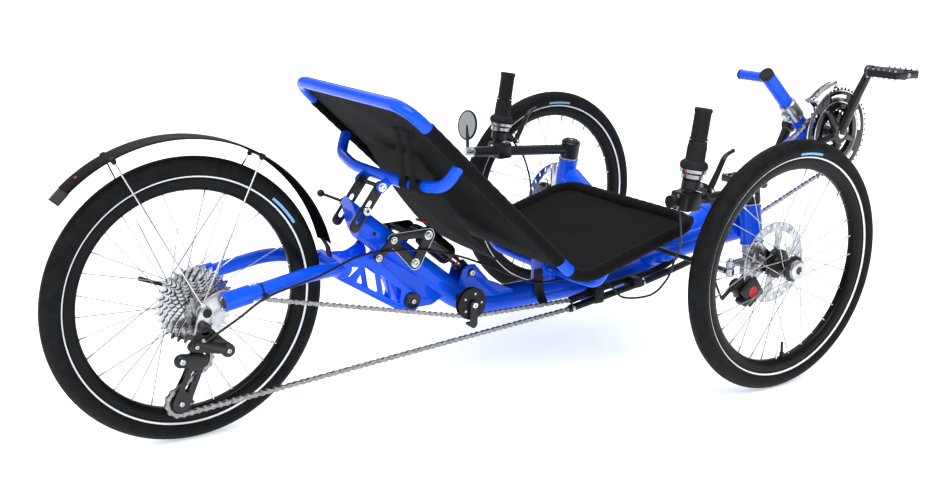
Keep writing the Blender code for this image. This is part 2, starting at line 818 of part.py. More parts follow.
def handlebar(prefix, side):
    """The steerer clamp, the bar that runs back from it, and the upright bar in its clamp.

    The left bar runs on behind its clamp, because it carries the mirror.
    """
    bar_end = (0.2900, -0.765, 0.380) if side > 0 else (-0.2873, -0.808, 0.3778)
    parts = [
        rod(kingpin_point(side, 0.348), kingpin_point(side, 0.386), 0.0215),
        rod((side * 0.2740, -1.020, 0.367), bar_end, 0.0111, 12),
        block((side * 0.2930, -0.840, 0.378), (0.046, 0.038, 0.036)),
        rod(grip_point(side, 0), grip_point(side, 0.170), 0.0111, 12),
        rod(grip_point(side, 0.022), grip_point(side, 0.059), 0.0195, 16),
        rod(grip_point(side, 0.032), (side * 0.302, -0.878, 0.398), 0.0090, 10),
    ]
    bore = rod(kingpin_point(side, 0.340), kingpin_point(side, 0.3745), 0.0147)
    return finish(prefix + "_handlebar", BLACK, fuse(parts, [bore]))


def sleeve(side, start, end, radius, end_radius, inside=0.0118):
    """A hollow sleeve on the upright bar, between two distances along it."""
    turn = (grip_point(side, 1) - grip_point(side, 0)).to_track_quat("Z", "Y").to_matrix().to_4x4()
    placing = Matrix.Translation(grip_point(side, 0)) @ turn
    profile = [(end_radius, end), (radius, start), (inside, start), (inside, end)]
    return turned(profile, placing, 16)


def brake_lever(prefix, side):
    """The blade that stands in front of the grip, bent outwards at its tip."""
    x = side * 0.3020
    path = [(x, -0.8890, 0.3930), (x, -0.9050, 0.4200), (x, -0.9230, 0.4550), (x, -0.9430, 0.4620)]
    parts = [
        pipe(rounded(path, 0.012, 2), 0.0042, 8),
        cross_rod((-0.8900, 0.3930), x - 0.0080, x + 0.0080, 0.0060, 10),
    ]
    return finish(prefix + "_brake_lever", BLACK, fuse(parts))


def brake_caliper(prefix, side):
    """The caliper that straddles the disc behind and below the hub."""
    body_centre = (side * 0.3310, -0.9780, 0.1960)
    parts = [
        block(body_centre, (0.0330, 0.0460, 0.0460), math.radians(-38)),
        cross_rod((-0.9720, 0.1990), side * 0.3000, side * 0.3200, 0.0150, 14),
        rod((side * 0.3040, -0.9720, 0.1990), (side * 0.3040, -0.9400, 0.1760), 0.0040, 8),
    ]
    slot = block((side * 0.3375, -1.0000, 0.2150), (0.0070, 0.0900, 0.0700), math.radians(-38))
    return finish(prefix + "_brake_caliper", BLACK, fuse(parts, [slot]))


def tie_rod():
    """The rod between the two steering arms, with an eye under each arm."""
    end = kingpin_point(1, 0.238).x
    height = 0.2240
    parts = [rod((-end, STEERING_ARM_Y, height), (end, STEERING_ARM_Y, height), 0.0050, 10)]
    for side in (-1, 1):
        foot = Vector((side * end, STEERING_ARM_Y, height))
        parts.append(rod(foot - Vector((0, 0, 0.007)), foot + Vector((0, 0, 0.007)), 0.0085, 12))
    return finish("tie_rod", BLACK, fuse(parts))


def steering(prefix, side):
    """Everything that turns about one kingpin."""
    pieces = [knuckle(prefix, side), handlebar(prefix, side), brake_caliper(prefix, side)]
    pieces.append(finish(prefix + "_grip", GRIP_RUBBER, sleeve(side, 0.112, 0.168, 0.0160, 0.0160)))
    body(prefix + "_steering", kingpin_point(side, KINGPIN_TOP.z), pieces)
    shifter = finish(prefix + "_twist_shifter", GRIP_RUBBER, sleeve(side, 0.060, 0.111, 0.0205, 0.0165))
    body(prefix + "_shifter", grip_point(side, 0.060), [shifter], prefix + "_steering")
    lever = brake_lever(prefix, side)
    body(prefix + "_lever", (side * 0.3020, -0.8900, 0.3930), [lever], prefix + "_steering")


def mirror():
    """An oval mirror on a short stem from the end of the left bar."""
    centre = Vector((0.3400, -0.7850, 0.4300))
    face = turned([(0, 0.0040), (0.0240, 0.0040), (0.0240, -0.0040), (0, -0.0040)], None, 20)
    tilt = Matrix.Rotation(math.radians(-82), 4, "X") @ Matrix.Rotation(math.radians(8), 4, "Y")
    look_back = Matrix.Rotation(math.radians(28), 4, "Z") @ tilt
    face.matrix_world = Matrix.Translation(centre) @ look_back @ Matrix.Diagonal((1.05, 1.4, 1, 1))
    foot = (0.2920, -0.7540, 0.3820)
    parts = [
        face,
        rod(foot, (0.3330, -0.7800, 0.4020), 0.0040, 8),
        rod((0.3330, -0.7800, 0.4020), centre, 0.0035, 8),
        rod((0.2920, -0.7640, 0.3820), (0.2920, -0.7460, 0.3820), 0.0085, 12),
    ]
    return finish("mirror", BLACK_PLASTIC, fuse(parts))


# ---- drive --------------------------------------------------------------------------------


def right_crank():
    """The crank arm with its five-armed spider and the axle through the boom."""
    centre = Vector(BOTTOM_BRACKET)
    end = centre + Vector((-0.1050, -0.0430, 0.1440))
    parts = [
        cross_rod(centre[1:], -0.0780, 0.0720, 0.0120, 16),
        cross_rod(centre[1:], -0.0780, -0.0640, 0.0300, 20),
        rod(centre + Vector((-0.0720, 0, 0)), end, 0.0110, 12, 0.0095),
        cross_rod(end[1:], end.x - 0.0080, end.x + 0.0080, 0.0125, 14),
    ]
    pedal_bore = cross_rod(end[1:], end.x - 0.02, end.x + 0.02, 0.0066, 12)
    return finish("right_crank", BLACK, fuse(parts, [pedal_bore]))


def left_crank():
    """The arm on the left, opposite to the right one."""
    centre = Vector(BOTTOM_BRACKET)
    end = centre + Vector((0.1050, 0.0430, -0.1440))
    parts = [
        cross_rod(centre[1:], 0.0640, 0.0860, 0.0180, 16),
        rod(centre + Vector((0.0760, 0, 0)), end, 0.0110, 12, 0.0095),
        cross_rod(end[1:], end.x - 0.0080, end.x + 0.0080, 0.0125, 14),
    ]
    cuts = [
        cross_rod(end[1:], end.x - 0.02, end.x + 0.02, 0.0066, 12),
        cross_rod(centre[1:], 0.0500, 0.0724, 0.0124, 16),
    ]
    return finish("left_crank", BLACK, fuse(parts, cuts))


def chainrings():
    """Three rings on a spider. The chain runs on the middle one."""
    placing = axle_frame(BOTTOM_BRACKET, -1, 0.0, 36)
    profile = [
        (0.0280, 0.0632),
        (0.1010, 0.0632),
        (0.1010, 0.0602),
        (0.0720, 0.0602),
        (0.0720, 0.0530),
        (0.0580, 0.0500),
        (0.0580, 0.0440),
        (0.0280, 0.0440),
    ]
    return finish("chainrings", BLACK, turned(profile, placing, 36))


def pedal(prefix, side):
    """A cage pedal on its spindle, with a window each side of the middle."""
    end = Vector(BOTTOM_BRACKET) + Vector((side * 0.1050, side * 0.0430, -side * 0.1440))
    inner = end.x - side * 0.0070
    outer = side * 0.2080
    middle = (side * 0.1640, end.y, end.z)
    parts = [
        cross_rod(end[1:], min(inner, outer), max(inner, outer), 0.0060, 12),
        block(middle, (0.0880, 0.0800, 0.0180)),
        cross_rod(end[1:], side * 0.1190, side * 0.1980, 0.0120, 14),
    ]
    cuts = []
    for way in (-1, 1):
        place = (middle[0], middle[1] + way * 0.0250, middle[2])
        cuts.append(block(place, (0.0700, 0.0190, 0.0400)))
    return finish(prefix + "_pedal", BLACK, fuse(parts, cuts))


def pulley(name, centre):
    """A derailleur pulley between the cage's plates."""
    placing = axle_frame((CHAIN_X, *centre), -1, 0.0, 16)
    profile = [(0.0180, 0.0025), (0.0180, -0.0025), (0.0038, -0.0025), (0.0038, 0.0025)]
    return finish(name, BLACK_PLASTIC, turned(profile, placing, 16))


def derailleur_cage():
    """Two plates joined by the pins that the pulleys turn on."""
    outline = around([(GUIDE_PULLEY, 0.0100), (TENSION_PULLEY, 0.0120)], 12)
    parts = [plate([outline], 0.0016, CHAIN_X + shift) for shift in (-0.0075, 0.0065)]
    for centre in (GUIDE_PULLEY, TENSION_PULLEY):
        parts.append(cross_rod(centre, CHAIN_X - 0.0080, CHAIN_X + 0.0070, 0.0030, 10))
    return finish("derailleur_cage", BLACK, fuse(parts))


def derailleur_knuckle():
    """The lower knuckle, which slides in across the sprockets and carries the cage."""
    outline = around([(GUIDE_PULLEY, 0.0110), ((0.0460, 0.1680), 0.0130)], 12)
    return finish("derailleur_knuckle", BLACK, plate([outline], 0.0080, -0.0770))


def rear_derailleur():
    """The hanger, the upper knuckle and the link body, fixed under the right dropout."""
    outline = around([((0.0060, 0.2160), 0.0120), ((-0.0300, 0.1760), 0.0100), ((0.0320, 0.1960), 0.0100)])
    parts = [
        plate([outline], 0.0120, -0.0890),
        cross_rod((0.0090, 0.2200), -0.0900, -0.0740, 0.0085, 12),
    ]
    return finish("rear_derailleur", BLACK, fuse(parts))


def chain_idler():
    """The wheel that holds the drive run down under the seat."""
    placing = axle_frame((0, *IDLER_CENTRE), -1, 0.0, 28)
    profile = [(0.0310, 0.0690), (0.0310, 0.0668), (0.0215, 0.0655), (0.0215, 0.0595)]
    profile += [(0.0068, 0.0595), (0.0068, 0.0690)]
    return finish("chain_idler", BLACK_PLASTIC, turned(profile, placing, 28))


def idler_bracket():
    """The idler's bolt on the side of the main tube, and the keeper below the chain."""
    foot = (-0.5270, 0.1310)
    parts = [
        cross_rod(IDLER_CENTRE, -0.0762, -0.0260, 0.0058, 12),
        cross_rod(IDLER_CENTRE, -0.0575, -0.0260, 0.0100, 12),
        plate([around([(IDLER_CENTRE, 0.0090), (foot, 0.0070)])], 0.0030, -0.0740),
        block((-0.0650, -0.5270, 0.1290), (0.0210, 0.0160, 0.0060)),
    ]
    return finish("idler_bracket", BLACK, fuse(parts))


DRIVE_TUBE = [(-0.0535, -0.775, 0.133), (-0.046, -0.90, 0.149), (-0.046, -1.03, 0.160)]
DRIVE_TUBE += [(-0.048, -1.16, 0.2434)]
RETURN_TUBE = [(-0.064, -0.765, 0.119), (-0.064, -0.977, 0.148), (-0.063, -1.105, 0.174)]
RETURN_TUBE += [(-0.056, -1.280, 0.242)]


def chain_tubes():
    """The two tubes that guide the chain past the seat, side by side in one clip."""
    outer = [pipe(rounded(run, 0.04, 2), 0.0072, 8) for run in (DRIVE_TUBE, RETURN_TUBE)]
    clip = block((-0.0550, -0.9600, 0.1490), (0.0350, 0.0180, 0.0200))
    bores = []
    for run in (DRIVE_TUBE, RETURN_TUBE):
        path = rounded(run, 0.04, 2)
        first = path[0] + (path[0] - path[1]).normalized() * 0.01
        last = path[-1] + (path[-1] - path[-2]).normalized() * 0.01
        bores.append(pipe([first, *path, last], 0.0058, 8))
    return finish("chain_tubes", BLACK_PLASTIC, fuse([*outer, clip], bores))


def chain():
    """The whole chain as one closed round strand, through its tubes and over every wheel."""
    ring_x = -0.0560

    def wrap(centre, radius, start, end, steps, x):
        return [Vector((x, y, z)) for y, z in arc(centre, radius, start, end, steps)]

    hub = (0.0, WHEEL_RADIUS)
    points = wrap(hub, CASSETTE_WRAP, 103.6, -33.0, 7, CHAIN_X)
    points += wrap(GUIDE_PULLEY, PULLEY_WRAP, 147.0, 243.0, 5, CHAIN_X)
    points += wrap(TENSION_PULLEY, PULLEY_WRAP, 63.0, -93.6, 7, CHAIN_X)
    points += rounded(RETURN_TUBE, 0.04, 2)
    points += wrap(BOTTOM_BRACKET[1:], RING_WRAP, 250.0, 54.2, 13, ring_x)
    points += rounded(DRIVE_TUBE, 0.04, 2)[::-1]
    points += wrap(IDLER_CENTRE, IDLER_WRAP, 267.0, 283.6, 2, CHAIN_X)
    return finish("chain", STEEL, pipe(points, CHAIN_RADIUS, 6, closed=True))


def derailleur_cable():
    """The housing from the rear derailleur along the right stay to the loop under the right bar."""
    route = [
        (-0.1010, 0.010, 0.203),
        (-0.1005, -0.045, 0.226),
        (-0.0980, -0.110, 0.250),
        (-0.0950, -0.190, 0.272),
        (-0.0750, -0.245, 0.285),
        (-0.0520, -0.300, 0.291),
        (-0.0490, -0.360, 0.290),
        (-0.0475, -0.430, 0.282),
        (-0.0420, -0.500, 0.262),
        (-0.0360, -0.560, 0.238),
        (-0.0320, -0.640, 0.200),
        (-0.0320, -0.700, 0.175),
        (-0.0330, -0.770, 0.172),
        (-0.0500, -0.835, 0.172),
        (-0.0760, -0.862, 0.154),
        (-0.0880, -0.886, 0.130),
        (-0.1200, -0.930, 0.137),
        (-0.1500, -0.943, 0.175),
        (-0.1700, -0.940, 0.216),
        (-0.2050, -0.920, 0.262),
        (-0.2350, -0.890, 0.300),
        (-0.2600, -0.860, 0.338),
        (-0.2660, -0.850, 0.352),
    ]
    return finish("derailleur_cable", BLACK_PLASTIC, pipe(smooth(route, 3), 0.0022, 8))


def front_derailleur_cage():
    """The two plates that push the chain, joined above the largest ring."""
    centre = BOTTOM_BRACKET[1:]
    outer = arc(centre, 0.1230, 41, 80, 5) + arc(centre, 0.1055, 80, 41, 5)
    inner = arc(centre, 0.1190, 41, 80, 5) + arc(centre, 0.0880, 80, 41, 5)
    parts = [plate([outer], 0.0015, -0.0690), plate([inner], 0.0015, -0.0490)]
    heel = arc(centre, 0.1130, 43, 43, 1)[0]
    toe = arc(centre, 0.1130, 78, 78, 1)[0]
    parts.append(cross_rod(heel, -0.0690, -0.0360, 0.0028, 8))
    parts.append(cross_rod(toe, -0.0690, -0.0490, 0.0022, 8))
    return finish("front_derailleur_cage", STEEL, fuse(parts))


def rear_axle():
    """The rear axle with its spacer and its nut."""
    line = (0.0, WHEEL_RADIUS)
    parts = [
        cross_rod(line, -0.0830, 0.0860, 0.0050, 12),
        cross_rod(line, 0.0460, 0.0670, 0.0090, 12),
        cross_rod(line, -0.0830, -0.0740, 0.0080, 12),
        cross_rod(line, 0.0740, 0.0860, 0.0085, 12),
    ]
    return finish("rear_axle", STEEL, fuse(parts))


def rear_axle_lever():
    """The cam lever at the left end of the rear axle."""
    cam = Vector((0.0915, 0.0, WHEEL_RADIUS))
    half_pin = Vector((0.0, 0.3748, -0.9271)) * 0.0065
    parts = [
        rod(cam - half_pin, cam + half_pin, 0.0048, 12),
        rod(cam, (0.0975, 0.0470, 0.2620), 0.0038, 8),
    ]
    return finish("rear_axle_lever", BLACK, fuse(parts))


def swingarm_pivot_axle():
    """The pivot pin with a round cap at each end."""
    parts = [
        cross_rod(SWINGARM_PIVOT, -0.0400, 0.0400, 0.0085, 14),
        cross_rod(SWINGARM_PIVOT, -0.0400, -0.0312, 0.0175, 20),
        cross_rod(SWINGARM_PIVOT, 0.0312, 0.0400, 0.0175, 20),
    ]
    return finish("swingarm_pivot_axle", BLACK, fuse(parts))


# ---- assembly -----------------------------------------------------------------------------


def assemble():
    """Builds every sub-assembly and hangs the moving ones from their pivots."""
    fixed = [main_frame(), front_frame(), swingarm_pivot_axle(), idler_bracket(), seat_clamp_axle()]
    fixed += [chain(), chain_tubes(), derailleur_cable()]
    body("frame", (0, 0, 0), fixed)
    body("idler", (0, *IDLER_CENTRE), [chain_idler()], "frame")

    body("seat", (0, *SEAT_PIVOT), [seat_frame(), seat_sling()], "frame")
    body("struts", (0, *STRUT_TOP), [seat_struts()], "seat")
    body("seat_lever", (0.0500, *STRUT_CLAMP), [seat_clamp_lever()], "frame")

    body("swingarm", (0, *SWINGARM_PIVOT), [swingarm(), rear_fender(), rear_axle(), rear_derailleur()])
    body("axle_lever", (0.0915, 0, WHEEL_RADIUS), [rear_axle_lever()], "swingarm")
    rear_wheel()
    body("knuckle", (CHAIN_X, *GUIDE_PULLEY), [derailleur_knuckle()], "swingarm")
    body("cage", (CHAIN_X, *GUIDE_PULLEY), [derailleur_cage()], "knuckle")
    body("guide", (CHAIN_X, *GUIDE_PULLEY), [pulley("guide_pulley", GUIDE_PULLEY)], "cage")
    body("tension", (CHAIN_X, *TENSION_PULLEY), [pulley("tension_pulley", TENSION_PULLEY)], "cage")

    body("rocker", (0, *ROCKER_PIVOT), [shock_rocker()], "frame")
    body("right_link", (0, *LINK_FOOT), [shock_link("right", -1)], "swingarm")
    body("left_link", (0, *LINK_FOOT), [shock_link("left", 1)], "swingarm")
    body("shock_foot", (0, *SHOCK_FOOT), [shock_shaft()], "frame")
    body("shock_can", (0, *SHOCK_TOP), [shock_air_can()], "shock_foot")

    body("boom", SLEEVE_END, [boom()], "frame")
    body("shift_cage", (0, -1.4400, 0.4700), [front_derailleur_cage()], "boom")
    body("crank", BOTTOM_BRACKET, [right_crank(), left_crank(), chainrings()], "boom")
    for prefix, side in (("right", -1), ("left", 1)):
        end = Vector(BOTTOM_BRACKET) + Vector((side * 0.1050, side * 0.0430, -side * 0.1440))
        body(prefix + "_pedal", end, [pedal(prefix, side)], "crank")

    for prefix, side in (("right", -1), ("left", 1)):
        steering(prefix, side)
        front_wheel(prefix, side)
    body("tie_rod", (KINGPIN_TOP.x, STEERING_ARM_Y, 0.2240), [tie_rod()], "left_steering")
    body("mirror", (0.2920, -0.7550, 0.3820), [mirror()], "left_steering")


assemble()
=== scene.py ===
"""Looks of the recumbent tricycle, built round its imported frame.

Metres, in the frame's own axes: +Z up, the tricycle faces -Y, and -X is the rider's right.
"""

import json
import math

import bmesh
import bpy
from mathutils import Matrix, Vector
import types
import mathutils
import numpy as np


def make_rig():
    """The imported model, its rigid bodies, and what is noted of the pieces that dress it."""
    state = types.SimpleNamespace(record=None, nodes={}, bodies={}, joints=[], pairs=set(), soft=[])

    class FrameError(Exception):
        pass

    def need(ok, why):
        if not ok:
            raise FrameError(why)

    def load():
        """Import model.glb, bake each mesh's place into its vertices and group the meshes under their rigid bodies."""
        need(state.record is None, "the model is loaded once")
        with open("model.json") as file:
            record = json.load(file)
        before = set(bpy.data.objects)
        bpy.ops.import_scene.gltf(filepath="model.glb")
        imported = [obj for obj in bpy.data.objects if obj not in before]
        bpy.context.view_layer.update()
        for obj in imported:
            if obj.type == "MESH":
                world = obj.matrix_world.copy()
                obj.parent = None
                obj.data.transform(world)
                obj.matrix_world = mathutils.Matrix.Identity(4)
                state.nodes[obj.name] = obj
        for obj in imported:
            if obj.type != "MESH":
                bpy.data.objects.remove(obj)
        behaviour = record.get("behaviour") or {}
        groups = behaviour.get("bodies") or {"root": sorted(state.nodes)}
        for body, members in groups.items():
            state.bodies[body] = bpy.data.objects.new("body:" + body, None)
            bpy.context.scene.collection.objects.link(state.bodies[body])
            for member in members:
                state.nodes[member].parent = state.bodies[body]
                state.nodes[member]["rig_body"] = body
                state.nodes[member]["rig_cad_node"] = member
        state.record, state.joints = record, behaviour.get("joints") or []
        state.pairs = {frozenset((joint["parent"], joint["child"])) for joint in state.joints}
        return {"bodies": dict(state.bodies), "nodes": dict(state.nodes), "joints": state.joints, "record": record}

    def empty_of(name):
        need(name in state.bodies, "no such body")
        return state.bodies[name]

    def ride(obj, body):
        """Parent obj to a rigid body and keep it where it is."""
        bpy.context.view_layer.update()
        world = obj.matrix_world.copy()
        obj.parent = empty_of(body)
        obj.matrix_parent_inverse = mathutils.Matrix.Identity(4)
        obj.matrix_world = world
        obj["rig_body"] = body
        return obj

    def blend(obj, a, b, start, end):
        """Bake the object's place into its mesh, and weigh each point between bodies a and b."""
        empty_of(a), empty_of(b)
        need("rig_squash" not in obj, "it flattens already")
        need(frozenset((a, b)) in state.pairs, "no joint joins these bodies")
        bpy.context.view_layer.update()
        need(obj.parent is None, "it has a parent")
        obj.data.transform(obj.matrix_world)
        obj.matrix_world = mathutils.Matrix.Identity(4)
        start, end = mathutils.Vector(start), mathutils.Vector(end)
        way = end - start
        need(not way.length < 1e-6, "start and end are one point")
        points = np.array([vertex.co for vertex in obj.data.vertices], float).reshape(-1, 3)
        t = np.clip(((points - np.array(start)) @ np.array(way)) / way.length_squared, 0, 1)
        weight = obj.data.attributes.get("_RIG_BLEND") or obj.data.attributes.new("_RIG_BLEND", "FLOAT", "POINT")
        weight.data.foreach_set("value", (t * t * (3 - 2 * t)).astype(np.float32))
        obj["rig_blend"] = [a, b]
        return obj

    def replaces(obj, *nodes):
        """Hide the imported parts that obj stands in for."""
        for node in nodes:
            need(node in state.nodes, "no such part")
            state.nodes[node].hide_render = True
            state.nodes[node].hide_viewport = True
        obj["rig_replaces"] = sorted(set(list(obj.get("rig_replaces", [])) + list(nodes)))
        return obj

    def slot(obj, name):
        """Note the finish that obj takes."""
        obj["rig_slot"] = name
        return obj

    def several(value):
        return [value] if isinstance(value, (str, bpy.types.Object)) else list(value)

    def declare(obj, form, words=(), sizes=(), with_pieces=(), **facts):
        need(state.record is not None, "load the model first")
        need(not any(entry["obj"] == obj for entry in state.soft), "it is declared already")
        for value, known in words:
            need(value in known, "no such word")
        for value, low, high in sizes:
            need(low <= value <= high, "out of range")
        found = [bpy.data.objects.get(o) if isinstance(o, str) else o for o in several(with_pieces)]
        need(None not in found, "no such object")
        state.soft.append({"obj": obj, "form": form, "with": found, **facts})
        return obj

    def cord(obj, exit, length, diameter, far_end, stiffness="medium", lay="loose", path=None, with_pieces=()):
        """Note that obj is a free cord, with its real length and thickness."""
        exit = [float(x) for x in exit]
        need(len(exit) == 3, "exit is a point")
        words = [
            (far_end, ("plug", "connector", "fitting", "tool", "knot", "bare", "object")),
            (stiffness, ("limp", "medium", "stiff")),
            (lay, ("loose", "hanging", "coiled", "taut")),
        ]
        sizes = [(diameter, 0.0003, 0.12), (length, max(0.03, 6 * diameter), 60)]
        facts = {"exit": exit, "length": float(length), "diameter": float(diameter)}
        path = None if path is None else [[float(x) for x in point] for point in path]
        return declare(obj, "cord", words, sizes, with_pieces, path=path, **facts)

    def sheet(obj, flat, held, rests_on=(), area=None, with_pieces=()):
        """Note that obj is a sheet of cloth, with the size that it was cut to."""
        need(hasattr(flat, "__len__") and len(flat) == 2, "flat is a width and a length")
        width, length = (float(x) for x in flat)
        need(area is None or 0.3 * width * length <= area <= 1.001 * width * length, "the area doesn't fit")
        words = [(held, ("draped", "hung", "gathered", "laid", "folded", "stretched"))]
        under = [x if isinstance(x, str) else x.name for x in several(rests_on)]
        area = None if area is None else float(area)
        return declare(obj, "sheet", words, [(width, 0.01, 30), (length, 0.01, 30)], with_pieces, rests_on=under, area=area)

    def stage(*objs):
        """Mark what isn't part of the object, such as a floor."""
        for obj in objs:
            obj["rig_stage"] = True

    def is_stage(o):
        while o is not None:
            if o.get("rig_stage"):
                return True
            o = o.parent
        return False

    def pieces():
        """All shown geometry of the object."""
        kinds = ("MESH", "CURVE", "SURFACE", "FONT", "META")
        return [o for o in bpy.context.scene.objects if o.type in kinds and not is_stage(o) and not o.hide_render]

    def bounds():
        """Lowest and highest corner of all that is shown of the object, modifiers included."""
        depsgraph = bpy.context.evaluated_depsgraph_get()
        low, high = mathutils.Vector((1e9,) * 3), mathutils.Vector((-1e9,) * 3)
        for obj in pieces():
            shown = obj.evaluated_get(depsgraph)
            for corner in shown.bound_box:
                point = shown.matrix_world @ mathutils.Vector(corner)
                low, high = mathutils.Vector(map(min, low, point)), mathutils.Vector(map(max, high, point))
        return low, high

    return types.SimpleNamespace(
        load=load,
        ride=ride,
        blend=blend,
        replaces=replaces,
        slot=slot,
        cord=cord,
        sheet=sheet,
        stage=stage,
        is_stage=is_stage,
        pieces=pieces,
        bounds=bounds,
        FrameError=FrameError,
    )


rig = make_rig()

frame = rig.load()
CAD_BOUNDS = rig.bounds()

# ---- driving dimensions -------------------------------------------------------------------

REAR_AXLE = (0.0, 0.243)
REAR_HUB = Vector((0.0, *REAR_AXLE))
FRONT_HUB = Vector((0.366, -1.038, 0.2432))
CAMBER = math.radians(1.1)
TREAD_CREST = 0.24295
SPOKES_PER_FLANGE = 16
SPOKE_END = 0.1868
CHAIN_PITCH = 0.0127

TUBE_RADIUS = 0.0254
TUBE_HEIGHT = 0.1455
TUBE_BEND = (0.0, -0.5605, TUBE_HEIGHT)
TUBE_REAR = (0.0, -0.2500, 0.3933)
FOLD_Y = -0.8500
BOOM_RADIUS = 0.0221
BOOM_CORNER = (0.0, -0.9900, TUBE_HEIGHT)
SLEEVE_END = Vector((0.0, -1.2000, 0.2500))
BOTTOM_BRACKET = Vector((0.0, -1.5300, 0.4150))
CRANK_REACH = Vector((0.1050, 0.0430, -0.1440))
POST_FOOT = Vector((0.0, -1.4920, 0.4200))
POST_TOP = Vector((0.0, -1.3500, 0.5520))

KINGPIN = Vector((0.2760, -1.0250, 0.3600))
KINGPIN_LEAN = math.radians(10)
STEERING_ARM_Y = -0.9650
TIE_ROD_HEIGHT = 0.2240
GRIP_FOOT = Vector((0.3000, -0.8380, 0.3780))
GRIP_ALONG = Vector((0.0, -0.1480, 0.9890)).normalized()

SEAT_HALF_WIDTH = 0.2000
SEAT_TUBE_RADIUS = 0.0110
SEAT_TOP = (-0.3000, 0.5710)
SEAT_HIP = (-0.6750, 0.2240)
SEAT_FRONT = (-0.9620, 0.3030)
SEAT_PIVOT = (-0.7450, 0.1960)
STRUT_TOP = (-0.3480, 0.4060)
STRUT_CLAMP = (-0.3180, 0.3660)

SWINGARM_PIVOT = (-0.4160, 0.1840)
ROCKER_PIVOT = (-0.4190, 0.2570)
ROCKER_TIP = (-0.3710, 0.3070)
SHOCK_TOP = (-0.4470, 0.3060)
SHOCK_FOOT = (-0.5550, 0.2150)
LINK_FOOT = (-0.3400, 0.2780)

CHAIN_X = -0.0625
RING_X = -0.0560
CASSETTE_WRAP = 0.0265
RING_WRAP = 0.0770
IDLER_WRAP = 0.0265
PULLEY_WRAP = 0.0225
IDLER_CENTRE = (-0.5270, 0.1690)
GUIDE_PULLEY = (0.0100, 0.1620)
TENSION_PULLEY = (0.0450, 0.0920)
CHAIN_SPLIT_Y = -0.80

# ---- materials ----------------------------------------------------------------------------


def material(name, colour, roughness, metallic=0.0, **sockets):
    """A Principled material, with any other sockets given by name."""
    made = bpy.data.materials.new(name)
    made.use_nodes = True
    shader = made.node_tree.nodes["Principled BSDF"]
    shader.inputs["Base Color"].default_value = (*colour, 1.0)
    shader.inputs["Roughness"].default_value = roughness
    shader.inputs["Metallic"].default_value = metallic
    for socket, value in sockets.items():
        shader.inputs[socket.replace("_", " ").title().replace("Ior", "IOR")].default_value = value
    made.diffuse_color = (*colour, 1.0)
    return made


def node(made, kind, **values):
    """A new node in a material, with its values set."""
    new = made.node_tree.nodes.new(kind)
    for key, value in values.items():
        if hasattr(new, key):
            setattr(new, key, value)
        else:
            new.inputs[key.replace("_", " ")].default_value = value
    return new


def link(made, source, out, target, into):
    """Joins two nodes of a material."""
    made.node_tree.links.new(source.outputs[out], target.inputs[into])


def mottle(made, colours, scale, detail=3.0):
    """Varies a material's colour softly with noise."""
    where = node(made, "ShaderNodeTexCoord")
    noise = node(made, "ShaderNodeTexNoise", Scale=scale, Detail=detail)
    ramp = node(made, "ShaderNodeValToRGB")
    ramp.color_ramp.elements[0].position = 0.3
    ramp.color_ramp.elements[1].position = 0.7
    ramp.color_ramp.elements[0].color = (*colours[0], 1.0)
    ramp.color_ramp.elements[1].color = (*colours[1], 1.0)
    link(made, where, "Object", noise, "Vector")
    link(made, noise, "Fac", ramp, "Fac")
    link(made, ramp, "Color", made.node_tree.nodes["Principled BSDF"], "Base Color")
    return made


def grain(made, scale, strength, distance=0.0003, stretch=(1.0, 1.0, 1.0)):
    """A fine bump of noise. A stretch makes it brushed."""
    where = node(made, "ShaderNodeTexCoord")
    mapping = node(made, "ShaderNodeMapping", Scale=stretch)
    noise = node(made, "ShaderNodeTexNoise", Scale=scale, Detail=2.0)
    bump = node(made, "ShaderNodeBump", Strength=strength, Distance=distance)
    link(made, where, "Object", mapping, "Vector")
    link(made, mapping, "Vector", noise, "Vector")
    link(made, noise, "Fac", bump, "Height")
    link(made, bump, "Normal", made.node_tree.nodes["Principled BSDF"], "Normal")
    return made


def wave(made, across, down):
    """The product of two waves over a surface's UV. It is 0 on their lines and 1 between them."""
    where = node(made, "ShaderNodeTexCoord")
    apart = node(made, "ShaderNodeSeparateXYZ")
    link(made, where, "UV", apart, "Vector")
    sines = []
    for channel, frequency in (("X", across), ("Y", down)):
        times = node(made, "ShaderNodeMath", operation="MULTIPLY")
        times.inputs[1].default_value = frequency * math.pi
        sine = node(made, "ShaderNodeMath", operation="SINE")
        size = node(made, "ShaderNodeMath", operation="ABSOLUTE")
        link(made, apart, channel, times, 0)
        link(made, times, 0, sine, 0)
        link(made, sine, 0, size, 0)
        sines.append(size)
    product = node(made, "ShaderNodeMath", operation="MULTIPLY")
    link(made, sines[0], 0, product, 0)
    link(made, sines[1], 0, product, 1)
    return product


def woven(name, gap_shade, light, columns, rows, depth):
    """A fabric whose threads stand out of holes painted darker as shade, laid out by the piece's UV in metres."""
    made = material(name, light, 0.85, specular_ior_level=0.05)
    product = wave(made, columns, rows)
    # The ramp paints the gaps between the threads darker than the threads: painted shade in the holes of the weave.
    ramp = node(made, "ShaderNodeValToRGB")
    ramp.color_ramp.elements[0].position = 0.15
    ramp.color_ramp.elements[1].position = 0.75
    ramp.color_ramp.elements[0].color = (*light, 1.0)
    ramp.color_ramp.elements[1].color = (*gap_shade, 1.0)
    bump = node(made, "ShaderNodeBump", Strength=0.6, Distance=depth, invert=True)
    shader = made.node_tree.nodes["Principled BSDF"]
    shader.inputs["Sheen Weight"].default_value = 0.04
    shader.inputs["Sheen Roughness"].default_value = 0.5
    link(made, product, 0, ramp, "Fac")
    link(made, ramp, "Color", shader, "Base Color")
    link(made, product, 0, bump, "Height")
    link(made, bump, "Normal", shader, "Normal")
    return made


